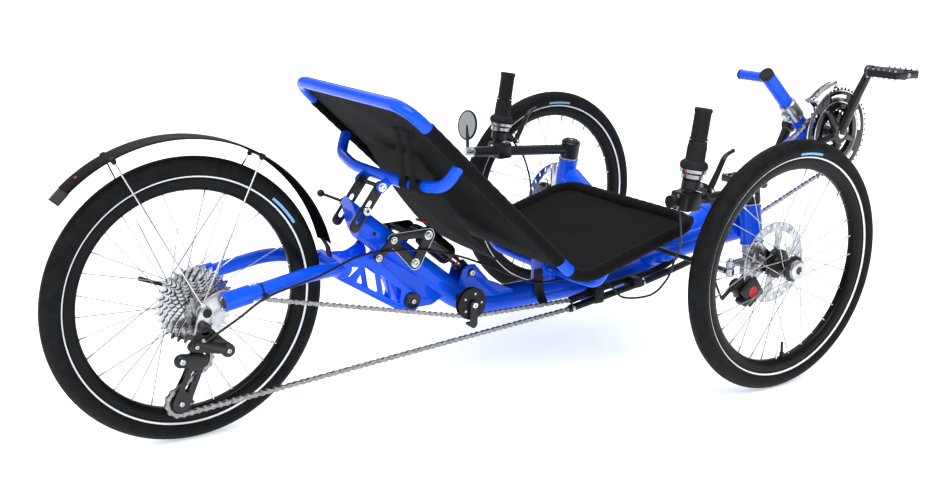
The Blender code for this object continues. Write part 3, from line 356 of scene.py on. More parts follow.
def blue_paint():
    """A clear-coated bright blue with the faint orange peel of sprayed paint."""
    made = material("blue_gloss_coat", (0.0015, 0.088, 0.82), 0.35, coat_weight=0.45, coat_roughness=0.05,
                    specular_ior_level=0.05)
    mottle(made, ((0.001, 0.076, 0.75), (0.002, 0.096, 0.86)), 9.0)
    return grain(made, 260.0, 0.05, 0.0002)


def tread_rubber():
    """Tyre rubber with fine slanted sipes over its tread and a fine grain on its walls."""
    made = material("tread_rubber", (0.006, 0.006, 0.007), 0.6, specular_ior_level=0.1)
    mottle(made, ((0.004, 0.004, 0.005), (0.009, 0.009, 0.010)), 60.0, 4.0)
    product = wave(made, 210.0, 190.0)
    bump = node(made, "ShaderNodeBump", Strength=0.45, Distance=0.0008)
    link(made, product, 0, bump, "Height")
    link(made, bump, "Normal", made.node_tree.nodes["Principled BSDF"], "Normal")
    return made


BLUE = blue_paint()
BLACK = grain(mottle(material("black_satin_metal", (0.008, 0.008, 0.009), 0.36, specular_ior_level=0.35),
                     ((0.005, 0.005, 0.006), (0.010, 0.010, 0.011)), 30.0), 700.0, 0.04)
GLOSS_BLACK = mottle(material("gloss_black", (0.004, 0.004, 0.005), 0.16, specular_ior_level=0.4),
                     ((0.004, 0.004, 0.005), (0.010, 0.010, 0.011)), 12.0)
MOULDED = grain(material("moulded_black", (0.008, 0.008, 0.009), 0.5, specular_ior_level=0.25), 500.0, 0.12)
SILVER = grain(mottle(material("brushed_aluminium", (0.52, 0.52, 0.54), 0.28, 1.0),
                      ((0.44, 0.44, 0.46), (0.60, 0.60, 0.62)), 40.0), 300.0, 0.05, stretch=(1, 1, 8))
STEEL = grain(mottle(material("bright_steel", (0.46, 0.46, 0.48), 0.22, 1.0),
                     ((0.36, 0.36, 0.38), (0.56, 0.56, 0.58)), 80.0), 600.0, 0.05)
CHAIN_STEEL = mottle(material("chain_steel", (0.26, 0.25, 0.24), 0.28, 1.0),
                     ((0.16, 0.155, 0.15), (0.38, 0.37, 0.36)), 300.0)
CHROME = mottle(material("chrome", (0.66, 0.66, 0.68), 0.14, 1.0),
                ((0.58, 0.58, 0.60), (0.72, 0.72, 0.74)), 20.0)
RUBBER = tread_rubber()
STRIPE = grain(material("reflective_stripe", (0.80, 0.82, 0.84), 0.35), 900.0, 0.2)
PATCH = grain(material("light_blue_patch", (0.16, 0.42, 0.72), 0.5), 900.0, 0.1)
GRIP = grain(material("ribbed_rubber", (0.011, 0.011, 0.012), 0.65, specular_ior_level=0.2), 900.0, 0.25)
# The first colour of each weave is the painted shade in the gaps between its threads; the second is the threads' own
# colour.
MESH_FABRIC = woven("mesh_weave", (0.001, 0.001, 0.001), (0.006, 0.0065, 0.007), 210.0, 250.0, 0.0006)
SLEEVE_FABRIC = woven("sleeve_weave", (0.002, 0.002, 0.002), (0.009, 0.009, 0.010), 420.0, 420.0, 0.0003)
WEBBING = woven("webbing_weave", (0.003, 0.003, 0.003), (0.014, 0.014, 0.015), 300.0, 520.0, 0.0005)
RED = mottle(material("red_anodised", (0.45, 0.012, 0.010), 0.3, 0.4),
             ((0.38, 0.010, 0.008), (0.52, 0.015, 0.012)), 50.0)
MIRROR_GLASS = material("mirror_glass", (0.88, 0.90, 0.92), 0.03, 1.0)
TAIL_GREY = grain(material("tail_grey", (0.022, 0.023, 0.024), 0.5, specular_ior_level=0.25), 500.0, 0.1)
RIM_BLACK = mottle(material("rim_black", (0.003, 0.003, 0.003), 0.30, specular_ior_level=0.12),
                   ((0.002, 0.002, 0.002), (0.005, 0.005, 0.005)), 12.0)
FENDER_BLACK = mottle(material("fender_black", (0.003, 0.003, 0.004), 0.42, specular_ior_level=0.06),
                      ((0.002, 0.002, 0.003), (0.005, 0.005, 0.007)), 12.0)
FENDER_INSIDE = grain(material("fender_inside", (0.005, 0.005, 0.006), 0.8, specular_ior_level=0.0),
                      400.0, 0.1)
CABLE_BLACK = grain(material("cable_housing", (0.007, 0.007, 0.008), 0.42, specular_ior_level=0.3),
                    800.0, 0.08)

# ---- mesh building ------------------------------------------------------------------------

SLOT_OF = {
    "blue_gloss_coat": "blue_paint",
    "black_satin_metal": "black_anodised",
    "gloss_black": "black_plastic",
    "moulded_black": "black_plastic",
    "brushed_aluminium": "polished_aluminium",
    "bright_steel": "plated_steel",
    "chain_steel": "plated_steel",
    "chrome": "polished_aluminium",
    "tread_rubber": "tyre_rubber",
    "reflective_stripe": "tyre_rubber",
    "light_blue_patch": "tyre_rubber",
    "ribbed_rubber": "grip_rubber",
    "mesh_weave": "seat_mesh",
    "sleeve_weave": "seat_mesh",
    "webbing_weave": "seat_mesh",
    "red_anodised": "black_anodised",
    "mirror_glass": "polished_aluminium",
    "tail_grey": "black_plastic",
    "rim_black": "black_anodised",
    "fender_black": "black_plastic",
    "fender_inside": "black_plastic",
    "cable_housing": "black_plastic",
}


def side_point(side, point):
    """A point on the rider's left, moved to the given side."""
    return Vector((side * point[0], point[1], point[2]))


def at_x(x, place):
    """A point from its X and a (y, z) place."""
    return Vector((x, place[0], place[1]))


def rounded(corners, reach, steps=8, closed=False):
    """The corners of a bent tube, each replaced by a smooth bend."""
    points = []
    last = len(corners) - 1
    for index, corner in enumerate(corners):
        corner = Vector(corner)
        if not closed and index in (0, last):
            points.append(corner)
            continue
        into = corner - Vector(corners[index - 1])
        out = Vector(corners[(index + 1) % len(corners)]) - corner
        short = min(reach, 0.48 * into.length, 0.48 * out.length)
        start = corner - into.normalized() * short
        end = corner + out.normalized() * short
        for step in range(steps + 1):
            t = step / steps
            points.append(start * (1 - t) ** 2 + corner * 2 * t * (1 - t) + end * t**2)
    return points


def smooth(knots, steps=8):
    """A smooth curve through every knot."""
    knots = [Vector(knot) for knot in knots]
    points = []
    for index in range(len(knots) - 1):
        start = knots[index]
        end = knots[index + 1]
        leave = (end - knots[max(index - 1, 0)]) / 2
        arrive = (knots[min(index + 2, len(knots) - 1)] - start) / 2
        for step in range(steps):
            t = step / steps
            points.append(
                start * (2 * t**3 - 3 * t**2 + 1)
                + end * (3 * t**2 - 2 * t**3)
                + leave * (t**3 - 2 * t**2 + t)
                + arrive * (t**3 - t**2)
            )
    return [*points, knots[-1]]


def arc(centre, radius, start, end, steps):
    """Points on an arc in the (y, z) plane. Angles are in degrees from +Y towards +Z."""
    points = []
    for step in range(steps + 1):
        angle = math.radians(start + (end - start) * step / steps)
        points.append((centre[0] + radius * math.cos(angle), centre[1] + radius * math.sin(angle)))
    return points


def around(circles, steps=28):
    """The convex outline that goes round several (centre, radius) circles."""
    cloud = []
    for centre, radius in circles:
        cloud += arc(centre, radius, 0, 360 - 360 / steps, steps - 1)
    cloud = sorted(set(cloud))
    outline = []
    for row in (cloud, cloud[::-1]):
        side = []
        for point in row:
            while len(side) > 1 and turns_right(side[-2], side[-1], point):
                side.pop()
            side.append(point)
        outline += side[:-1]
    return outline


def turns_right(first, second, third):
    """True where the path through three points doesn't turn left."""
    across = (second[0] - first[0]) * (third[1] - first[1])
    along = (second[1] - first[1]) * (third[0] - first[0])
    return across - along <= 0


def axle_frame(centre, side, lean=0.0):
    """A frame whose Z runs outboard along an axle and whose X points down."""
    out = Vector((side * math.cos(lean), 0.0, -math.sin(lean)))
    down = Vector((-side * math.sin(lean), 0.0, -math.cos(lean)))
    turn = Matrix((down, out.cross(down), out)).transposed().to_4x4()
    return Matrix.Translation(centre) @ turn


def line_frame(start, end):
    """A frame at the start whose Z runs to the end."""
    turn = (Vector(end) - Vector(start)).to_track_quat("Z", "Y").to_matrix().to_4x4()
    return Matrix.Translation(start) @ turn


class Shape:
    """Collects simple solids into one mesh, each with a material from the finished piece's list."""

    def __init__(self):
        self.mesh = bmesh.new()
        self.uv = self.mesh.loops.layers.uv.verify()

    def skin(self, rows, closed_row=True, loop=False, ink=0, spans=None, scale=(1.0, 1.0)):
        """Quads over rows of points. The ink may be a number or a function of the quad's place."""
        made = [[self.mesh.verts.new(point) for point in row] for row in rows]
        high = len(made)
        wide = len(made[0])
        tall = high if loop else high - 1
        broad = wide if closed_row else wide - 1
        for i in range(tall):
            for j in range(broad):
                corners = ((i, j), (i, j + 1), (i + 1, j + 1), (i + 1, j))
                face = self.mesh.faces.new([made[a % high][b % wide] for a, b in corners])
                face.material_index = ink(i, j) if callable(ink) else ink
                for corner, (a, b) in zip(face.loops, corners):
                    down = spans[a] if spans else a / tall
                    corner[self.uv].uv = (scale[0] * b / broad, scale[1] * down)
        return made

    def cap(self, ring, ink=0):
        """Closes a ring of vertices with one flat face."""
        face = self.mesh.faces.new(ring)
        face.material_index = ink

    def turned(self, profile, placing, steps=48, ink=0, scale=(1.0, 1.0)):
        """A turned solid from a (radius, height) profile. It is capped where the profile meets the axis."""
        rows = []
        for radius, height in profile:
            if radius > 0:
                rows.append([placing @ Vector((radius * math.cos(a), radius * math.sin(a), height))
                             for a in (2 * math.pi * k / steps for k in range(steps))])
        ring = profile[0][0] > 0 and profile[-1][0] > 0
        made = self.skin(rows, loop=ring, ink=ink, scale=scale)
        if not ring:
            last = ink if isinstance(ink, int) else 0
            self.cap(made[0][::-1], last)
            self.cap(made[-1], last)
        return self

    def rod(self, start, end, radius, ink=0, end_radius=None, steps=28, edge=None):
        """A round bar with softened ends."""
        length = (Vector(end) - Vector(start)).length
        far = radius if end_radius is None else end_radius
        soft = min(radius, far, length) * 0.12 if edge is None else edge
        profile = [(0, 0), (radius - soft, 0), (radius, soft), (far, length - soft), (far - soft, length)]
        return self.turned([*profile, (0, length)], line_frame(start, end), steps, ink)

    def cross_rod(self, place, x_low, x_high, radius, ink=0, steps=28):
        """A round bar that lies across the tricycle."""
        return self.rod(at_x(x_low, place), at_x(x_high, place), radius, ink, None, steps)

    def side_rod(self, place, side, near, far, radius, ink=0, steps=28):
        """A round bar on one side of the tricycle, between two distances from its middle."""
        low, high = sorted((side * near, side * far))
        return self.cross_rod(place, low, high, radius, ink, steps)

    def bolt(self, place, x, side, size=0.005, ink=0):
        """A socket-head bolt on a face that looks along X."""
        start = at_x(x, place)
        head = [(0, 0), (size, 0), (size, size * 0.6), (size * 0.85, size * 0.8), (size * 0.5, size * 0.8)]
        head += [(size * 0.5, size * 0.35), (0, size * 0.35)]
        return self.turned(head, line_frame(start, start + Vector((side, 0, 0))), 18, ink)

    def tube(self, points, radius, ink=0, steps=24, closed=False, radii=None, oval=1.0):
        """A tube along points, with its own radius at each if asked."""
        points = [Vector(point) for point in points]
        count = len(points)
        rows = []
        spans = [0.0]
        side = None
        for index, point in enumerate(points):
            before = points[index - 1] if closed or index else point
            after = points[(index + 1) % count] if closed or index < count - 1 else point
            along = (after - before).normalized()
            if side is None:
                side = along.cross(Vector((0, 0, 1)) if abs(along.z) < 0.9 else Vector((1, 0, 0)))
            side = (side - along * side.dot(along)).normalized()
            up = along.cross(side)
            size = radii[index] if radii else radius
            rows.append([point + side * size * oval * math.cos(a) + up * size * math.sin(a)
                         for a in (2 * math.pi * k / steps for k in range(steps))])
            spans.append(spans[-1] + (after - point).length)
        scale = (2 * math.pi * radius, 1.0)
        made = self.skin(rows, loop=closed, ink=ink, spans=spans, scale=scale)
        if not closed:
            self.cap(made[0][::-1], ink if isinstance(ink, int) else 0)
            self.cap(made[-1], ink if isinstance(ink, int) else 0)
        return self

    def block(self, centre, size, ink=0, turn=None, edge=0.0015):
        """A box with bevelled edges."""
        made = bmesh.new()
        bmesh.ops.create_cube(made, size=1.0)
        bmesh.ops.scale(made, vec=size, verts=made.verts)
        bmesh.ops.bevel(made, geom=made.edges, offset=edge, segments=2, affect="EDGES", profile=0.5)
        placing = Matrix.Translation(centre) @ (turn or Matrix.Identity(4))
        return self.add(made, placing, ink)

    def ball(self, centre, radius, ink=0, stretch=(1, 1, 1)):
        """A sphere, or an ellipsoid when stretched."""
        made = bmesh.new()
        bmesh.ops.create_uvsphere(made, u_segments=24, v_segments=14, radius=radius)
        return self.add(made, Matrix.Translation(centre) @ Matrix.Diagonal((*stretch, 1)), ink)

    def plate(self, outlines, thickness, x, ink=0, edge=0.0006, placing=None):
        """A flat plate across X with bevelled edges. Outlines inside the first are holes."""
        curve = bpy.data.curves.new("plate", "CURVE")
        curve.dimensions = "2D"
        curve.fill_mode = "BOTH"
        curve.extrude = max(thickness / 2 - edge, 0.0001)
        curve.bevel_depth = edge
        curve.bevel_resolution = 1
        curve.offset = -edge
        for outline in outlines:
            spline = curve.splines.new("POLY")
            spline.points.add(len(outline) - 1)
            for knot, (y, z) in zip(spline.points, outline):
                knot.co = (y, z, 0.0, 1.0)
            spline.use_cyclic_u = True
        drawn = bpy.data.objects.new("plate", curve)
        mesh = bpy.data.meshes.new_from_object(drawn)
        made = bmesh.new()
        made.from_mesh(mesh)
        bmesh.ops.remove_doubles(made, verts=made.verts, dist=1e-6)
        bpy.data.objects.remove(drawn)
        bpy.data.curves.remove(curve)
        bpy.data.meshes.remove(mesh)
        across = Matrix(((0, 0, 1, x), (1, 0, 0, 0), (0, 1, 0, 0), (0, 0, 0, 1)))
        return self.add(made, placing if placing is not None else across, ink)

    def add(self, made, placing, ink=0):
        """Adds another bmesh, moved into place, and frees it."""
        bmesh.ops.transform(made, matrix=placing, verts=made.verts)
        copies = {}
        for vert in made.verts:
            copies[vert] = self.mesh.verts.new(vert.co)
        for old in made.faces:
            face = self.mesh.faces.new([copies[vert] for vert in old.verts])
            face.material_index = ink
        made.free()
        return self

    def finish(self, name, body, materials, nodes=(), angle=35, recalculate=True):
        """Makes the object, has it ride on its body if it has one, and stand for its CAD nodes."""
        if recalculate:
            bmesh.ops.recalc_face_normals(self.mesh, faces=self.mesh.faces)
        mesh = bpy.data.meshes.new(name)
        self.mesh.to_mesh(mesh)
        self.mesh.free()
        for made in materials:
            mesh.materials.append(made)
        mesh.shade_smooth()
        mesh.set_sharp_from_angle(angle=math.radians(angle))
        obj = bpy.data.objects.new(name + "_look" if name in nodes else name, mesh)
        bpy.context.scene.collection.objects.link(obj)
        if body:
            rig.ride(obj, body)
        if nodes:
            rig.replaces(obj, *nodes)
        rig.slot(obj, SLOT_OF[materials[0].name])
        return obj


# ---- studio -------------------------------------------------------------------------------


LENS_LENGTH = 45.48
CAMERA_PLACE = (-1.8205, 0.6767, 0.8457)
CAMERA_RIGHT = (-0.5594, -0.8287, 0.0185)
CAMERA_BACK = (-0.7991, 0.5451, 0.2537)


def add_world(scene):
    """A pale, slightly blue surround."""
    scene.view_settings.view_transform = "Standard"
    world = bpy.data.worlds.new("studio")
    world.use_nodes = True
    world.node_tree.nodes["Background"].inputs["Color"].default_value = (0.93, 0.965, 1.0, 1.0)
    world.node_tree.nodes["Background"].inputs["Strength"].default_value = 0.45
    scene.world = world


def add_floor(scene):
    """A white floor that glows a little, so that it fades into the surround."""
    floor = bmesh.new()
    bmesh.ops.create_grid(floor, x_segments=1, y_segments=1, size=30.0)
    mesh = bpy.data.meshes.new("floor")
    floor.to_mesh(mesh)
    floor.free()
    ground = bpy.data.objects.new("floor", mesh)
    floor_white = material("white_floor", (0.93, 0.95, 0.97), 0.55)
    surface = floor_white.node_tree.nodes["Principled BSDF"].inputs
    surface["Emission Color"].default_value = (0.90, 0.95, 1.0, 1.0)
    surface["Emission Strength"].default_value = 0.55
    mesh.materials.append(floor_white)
    scene.collection.objects.link(ground)
    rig.stage(ground)


def add_suns(scene):
    """Three soft suns."""
    for name, way, strength, spread in (
        ("key", (-0.55, 0.30, 1.0), 2.5, 45.0),
        ("fill", (0.65, -0.35, 0.9), 1.0, 60.0),
        ("rim", (0.35, 0.95, 0.75), 0.35, 60.0),
    ):
        light = bpy.data.lights.new(name, "SUN")
        light.energy = strength
        light.angle = math.radians(spread)
        lamp = bpy.data.objects.new(name, light)
        lamp.rotation_euler = Vector(way).to_track_quat("Z", "Y").to_euler()
        scene.collection.objects.link(lamp)


def add_camera(scene):
    """A camera that looks from behind and from the rider's right."""
    lens = bpy.data.cameras.new("camera")
    lens.lens = LENS_LENGTH
    lens.sensor_width = 36.0
    lens.clip_end = 100.0
    camera = bpy.data.objects.new("camera", lens)
    right = Vector(CAMERA_RIGHT).normalized()
    back = Vector(CAMERA_BACK).normalized()
    up = back.cross(right)
    turn = Matrix((right, up, back)).transposed().to_4x4()
    camera.matrix_world = Matrix.Translation(CAMERA_PLACE) @ turn
    scene.collection.objects.link(camera)
    scene.camera = camera


def studio():
    """The surround, the floor, the suns and the camera."""
    scene = bpy.context.scene
    add_world(scene)
    add_floor(scene)
    add_suns(scene)
    add_camera(scene)


# ---- wheels -------------------------------------------------------------------------------

WALL = [
    (0.2014, 0.0080),
    (0.2050, 0.0098),
    (0.2082, 0.0122),
    (0.2100, 0.0137),
    (0.2127, 0.0158),
    (0.2150, 0.0174),
    (0.2166, 0.0184),
    (0.2210, 0.0200),
    (0.2250, 0.0205),
    (0.2290, 0.0200),
    (0.2330, 0.0180),
    (0.2365, 0.0150),
    (0.2392, 0.0118),
]
CROWN = [
    (0.2406, 0.0096),
    (0.2396, 0.0090),
    (0.2400, 0.0084),
    (0.2420, 0.0062),
    (TREAD_CREST - 0.0002, 0.0034),
    (TREAD_CREST, 0.0012),
]
STRIPE_ROW = 3
PATCH_ROW = 6
PATCH_STEPS = 7
TYRE_STEPS = 160


def tyre(name, body, placing, patch_from):
    """A tyre with a white stripe on each wall and a light blue patch nearer the tread."""
    half = WALL + CROWN
    profile = half + [(radius, -height) for radius, height in half[::-1]]
    rows = len(profile)

    def ink(i, j):
        wall = min(i, rows - 2 - i)
        if wall == STRIPE_ROW:
            return 1
        if wall == PATCH_ROW and patch_from <= j % TYRE_STEPS < patch_from + PATCH_STEPS:
            return 2
        return 0

    shape = Shape()
    shape.turned(profile, placing, TYRE_STEPS, ink, scale=(1.53, 0.13))
    shape.finish(name, body, [RUBBER, STRIPE, PATCH], [name], angle=50)


def rim(name, body, placing):
    """A deep black rim and the valve's stem."""
    half = [(0.1872, 0.0), (0.1872, 0.0045), (0.1890, 0.0075), (0.1930, 0.0100), (0.2000, 0.0116)]
    half += [(0.2064, 0.0124), (0.2078, 0.0121), (0.2078, 0.0106), (0.2040, 0.0099), (0.2008, 0.0086)]
    profile = [(radius, -height) for radius, height in half[::-1]] + half[1:]
    shape = Shape()
    shape.turned(profile, placing, 144)
    angle = math.pi / (2 * SPOKES_PER_FLANGE)
    foot = placing @ Vector((0.1875 * math.cos(angle), 0.1875 * math.sin(angle), 0))
    tip = placing @ Vector((0.1570 * math.cos(angle), 0.1570 * math.sin(angle), 0))
    middle = foot.lerp(tip, 0.3)
    shape.rod(foot, tip, 0.0026, 1, steps=14)
    shape.rod(foot, middle, 0.0045, 1, steps=14)
    shape.finish(name, body, [RIM_BLACK, MOULDED], [name])


def spokes(name, body, placing, flanges):
    """Crossed spokes with nipples."""
    shape = Shape()
    spacing = 2 * math.pi / SPOKES_PER_FLANGE
    for side, (height, radius) in enumerate(flanges):
        for index in range(SPOKES_PER_FLANGE):
            way = 1 if index % 2 else -1
            hub_angle = (index + side / 2) * spacing
            rim_angle = hub_angle + 3 * way * spacing
            start = polar(hub_angle, radius, height + 0.0019 * way)
            end = polar(rim_angle, SPOKE_END, math.copysign(0.0012, height) + 0.0010 * way)
            collar = end + (start - end).normalized() * 0.0120
            shape.rod(placing @ start, placing @ collar, 0.0009, 0, steps=7)
            shape.rod(placing @ collar, placing @ end, 0.0016, 1, 0.0021, steps=9)
    shape.finish(name, body, [STEEL, CHROME])


def polar(angle, radius, height):
    """A point from cylindrical coordinates."""
    return Vector((radius * math.cos(angle), radius * math.sin(angle), height))


def disc_outlines():
    """A brake disc's rim, its slanted slots and the windows between its arms."""
    outlines = [arc((0, 0), 0.0797, 0, 357.5, 143)]
    for index in range(24):
        angle = index * 15
        slot = [at_polar(0.0690, angle), at_polar(0.0765, angle + 4.0)]
        slot += [at_polar(0.0765, angle + 7.0), at_polar(0.0690, angle + 3.0)]
        outlines.append(slot)
    for index in range(6):
        start = index * 60
        window = arc((0, 0), 0.0620, start + 4, start + 44, 10)
        window += [at_polar(0.0450, start + 38)]
        window += arc((0, 0), 0.0270, start + 30, start + 2, 5)
        window += [at_polar(0.0450, start + 2)]
        outlines.append(window)
    outlines.append(arc((0, 0), 0.0168, 0, 345, 23))
    return outlines


def at_polar(radius, degrees):
    """A flat point at a radius and an angle."""
    return (radius * math.cos(math.radians(degrees)), radius * math.sin(math.radians(degrees)))


def front_wheel(prefix, side):
    """A front wheel: tyre, rim, spokes, hub with its cap, and the brake disc."""
    body = prefix + "_front_wheel"
    placing = axle_frame(side_point(side, FRONT_HUB), side, CAMBER)
    tyre(prefix + "_front_tyre", body, placing, 74 if side < 0 else 78)
    rim(prefix + "_front_rim", body, placing)
    spokes(prefix + "_front_spokes", body, placing, [(0.0205, 0.0225), (-0.0185, 0.0262)])
    hub = Shape()
    shell = [(0, 0.0290), (0.0175, 0.0290), (0.0185, 0.0270), (0.0200, 0.0250), (0.0245, 0.0232)]
    shell += [(0.0245, 0.0178), (0.0160, 0.0150), (0.0135, 0.0100), (0.0135, -0.0080), (0.0165, -0.0130)]
    shell += [(0.0285, -0.0160), (0.0285, -0.0210), (0.0180, -0.0240), (0.0150, -0.0260), (0.0150, -0.0338)]
    shell += [(0.0120, -0.0340), (0, -0.0340)]
    hub.turned(shell, placing, 48, 0)
    cap = [(0, 0.0330), (0.0070, 0.0330), (0.0080, 0.0352), (0.0150, 0.0359), (0.0180, 0.0345)]
    cap += [(0.0190, 0.0320), (0.0190, 0.0285), (0, 0.0285)]
    hub.turned(cap, placing, 48, 1)
    hub.turned([(0, 0.0345), (0.0060, 0.0345), (0.0068, 0.0328), (0, 0.0328)], placing, 24, 2)
    hub.finish(prefix + "_front_hub", body, [BLACK, SILVER, GLOSS_BLACK], [prefix + "_front_hub"])
    disc = Shape()
    flat = placing @ Matrix.Translation((0, 0, -0.0284))
    disc.plate(disc_outlines(), 0.0018, 0, 0, 0.0002, flat)
    for index in range(6):
        spot = at_polar(0.0220, index * 60 + 47)
        start = placing @ Vector((*spot, -0.0293))
        end = placing @ Vector((*spot, -0.0318))
        disc.rod(start, end, 0.0036, 1, steps=14)
    disc.finish(prefix + "_front_rotor", body, [STEEL, GLOSS_BLACK], [prefix + "_front_rotor"])


def pitch_radius(teeth):
    """The radius at which a chain's pins lie on a sprocket."""
    return CHAIN_PITCH / 2 / math.sin(math.pi / teeth)


def sprocket(teeth, root_depth=0.0035, tip_height=0.0030):
    """A sprocket's outline, from its count of teeth."""
    radius = pitch_radius(teeth)
    outline = []
    step = 360 / teeth
    for index in range(teeth):
        angle = index * step
        outline.append(at_polar(radius - root_depth, angle - 0.16 * step))
        outline.append(at_polar(radius - root_depth, angle + 0.16 * step))
        outline.append(at_polar(radius + tip_height, angle + 0.43 * step))
        outline.append(at_polar(radius + tip_height, angle + 0.57 * step))
    return outline


SPROCKET_TEETH = (13, 15, 17, 19, 21, 23, 26, 29, 32)
SPROCKET_SPACING = 0.00434
SPROCKET_BORE = 0.0176


def cassette():
    """Nine toothed sprockets on one carrier, with the lock ring outside."""
    placing = axle_frame(REAR_HUB, -1)
    shape = Shape()
    for index, teeth in enumerate(SPROCKET_TEETH):
        height = -CHAIN_X - index * SPROCKET_SPACING
        outlines = [sprocket(teeth), arc((0, 0), SPROCKET_BORE, 0, 348, 29)]
        radius = pitch_radius(teeth)
        if teeth > 18:
            for hole in range(6):
                middle = at_polar((radius + SPROCKET_BORE) / 2, hole * 60 + index * 9)
                size = (radius - 0.0250) * 0.26
                outlines.append(arc(middle, size, 0, 330, 11))
        shape.plate(outlines, 0.0018, 0, 0, 0.0003, placing @ Matrix.Translation((0, 0, height)))
    spacer = [(0.0215, 0.0600), (0.0215, 0.0280), (0.0173, 0.0280), (0.0173, 0.0600)]
    shape.turned(spacer, placing, 40, 1)
    ring = [(0.0205, 0.0642), (0.0212, 0.0632), (0.0205, 0.0620), (0.0173, 0.0620), (0.0173, 0.0642)]
    shape.turned(ring, placing, 40, 1)
    shape.finish("cassette_sprockets", "cassette", [STEEL, SILVER], ["cassette"])


def rear_wheel():
    """The rear wheel with its bright hub."""
    placing = axle_frame(REAR_HUB, 1)
    tyre("rear_tyre", "rear_wheel", placing, 99)
    rim("rear_rim", "rear_wheel", placing)
    spokes("rear_spokes", "rear_wheel", placing, [(0.0340, 0.0205), (-0.0200, 0.0225)])
    shell = [(0.0120, 0.0455), (0.0125, 0.0375), (0.0200, 0.0368), (0.0225, 0.0355), (0.0225, 0.0325)]
    shell += [(0.0170, 0.0290), (0.0135, 0.0240), (0.0125, 0.0100), (0.0140, -0.0100), (0.0180, -0.0160)]
    shell += [(0.0245, -0.0175), (0.0245, -0.0225), (0.0170, -0.0240), (0.0163, -0.0300), (0.0163, -0.0640)]
    shell += [(0.0130, -0.0648), (0.0060, -0.0648), (0.0060, 0.0455)]
    hub = Shape()
    hub.turned(shell, placing, 48)
    hub.finish("rear_hub", "rear_wheel", [SILVER], ["rear_hub"])


# ---- drive --------------------------------------------------------------------------------

DRIVE_TUBE = [(-0.0535, -0.775, 0.133), (-0.046, -0.90, 0.149), (-0.046, -1.03, 0.160)]
DRIVE_TUBE += [(-0.048, -1.16, 0.2434)]
RETURN_TUBE = [(-0.064, -0.765, 0.119), (-0.064, -0.977, 0.148), (-0.063, -1.105, 0.174)]
RETURN_TUBE += [(-0.056, -1.280, 0.242)]
CHAINRINGS = [(50, 0.0617, 0.0570, True), (38, 0.0560, 0.0520, False), (26, 0.0480, 0.0300, False)]


def chain_path():
    """The chain's closed line, over every wheel and through both tubes."""

    def wrap(centre, radius, start, end, steps, x):
        return [Vector((x, y, z)) for y, z in arc(centre, radius, start, end, steps)]

    points = wrap(REAR_AXLE, CASSETTE_WRAP, 103.6, -33.0, 14, CHAIN_X)
    points += wrap(GUIDE_PULLEY, PULLEY_WRAP, 147.0, 243.0, 10, CHAIN_X)
    points += wrap(TENSION_PULLEY, PULLEY_WRAP, 63.0, -93.6, 14, CHAIN_X)
    points += rounded(RETURN_TUBE, 0.04)
    points += wrap(BOTTOM_BRACKET[1:], RING_WRAP, 250.0, 54.2, 38, RING_X)
    points += rounded(DRIVE_TUBE, 0.04)[::-1]
    points += wrap(IDLER_CENTRE, IDLER_WRAP, 267.0, 283.6, 3, CHAIN_X)
    return points


def spaced(points, spacing):
    """Points at an even spacing round a closed line, which fits a whole even number of them."""
    loop = [*points, points[0]]
    spans = [0.0]
    for start, end in zip(loop, loop[1:]):
        spans.append(spans[-1] + (end - start).length)
    count = 2 * round(spans[-1] / spacing / 2)
    made = []
    index = 0
    for step in range(count):
        wanted = spans[-1] * step / count
        while spans[index + 1] < wanted:
            index += 1
        share = (wanted - spans[index]) / (spans[index + 1] - spans[index])
        made.append(loop[index].lerp(loop[index + 1], share))
    return made


def add_link(shape, start, stop, outer):
    """One link: its two plates, the pin at its start and the roller round it."""
    along = (stop - start).normalized()
    across = Vector((1, 0, 0)) - along * along.x
    across.normalize()
    up = across.cross(along)
    turn = Matrix((along, up, across)).transposed().to_4x4()
    placing = Matrix.Translation((start + stop) / 2) @ turn
    offset = 0.0021 if outer else 0.0031
    half = CHAIN_PITCH / 2
    end = 0.0041
    waist = 0.0024
    outline = arc((half, 0), end, -110, 110, 7) + [(0, waist)]
    outline += arc((-half, 0), end, 70, 290, 7) + [(0, -waist)]
    for side in (-1, 1):
        add_slab(shape, outline, 0.0009, placing @ Matrix.Translation((0, 0, side * offset)))
    width = across * 0.0039
    shape.rod(start - width, start + width, 0.0018, 0, steps=8, edge=0.0002)
    roller = across * 0.0016
    shape.rod(start - roller, start + roller, 0.0038, 1, steps=10, edge=0.0002)


def add_slab(shape, outline, thickness, placing):
    """A thin plate from a flat outline, without bevels."""
    low = [shape.mesh.verts.new(placing @ Vector((x, y, -thickness / 2))) for x, y in outline]
    high = [shape.mesh.verts.new(placing @ Vector((x, y, thickness / 2))) for x, y in outline]
    shape.mesh.faces.new(low[::-1])
    shape.mesh.faces.new(high)
    count = len(outline)
    for index in range(count):
        follow = (index + 1) % count
        shape.mesh.faces.new((low[index], low[follow], high[follow], high[index]))


def ring_outlines(teeth, inner, windows):
    """A chainring's toothed outline with its bore and lightening windows."""
    outlines = [sprocket(teeth), arc((0, 0), inner, 0, 352, 44)]
    if windows:
        radius = pitch_radius(teeth)
        for index in range(5):
            start = index * 72 + 16
            window = arc((0, 0), radius - 0.0140, start + 2, start + 38, 12)
            window += arc((0, 0), inner + 0.0130, start + 38, start + 2, 12)
            outlines.append(window)
    return outlines


def add_crank_arm(shape, end, root_x, bow):
    """A tapering arm from the axle to the pedal's eye. It bows outwards halfway along."""
    root = BOTTOM_BRACKET + Vector((root_x, 0, 0))
    middle = BOTTOM_BRACKET.lerp(end, 0.5) + Vector((bow, 0, 0))
    radii = [0.0125 - 0.0030 * step / 16 for step in range(17)]
    shape.tube(smooth([root, middle, end], 8), 0.0100, radii=radii, steps=24)
    shape.cross_rod(end[1:], end.x - 0.0085, end.x + 0.0085, 0.0125)


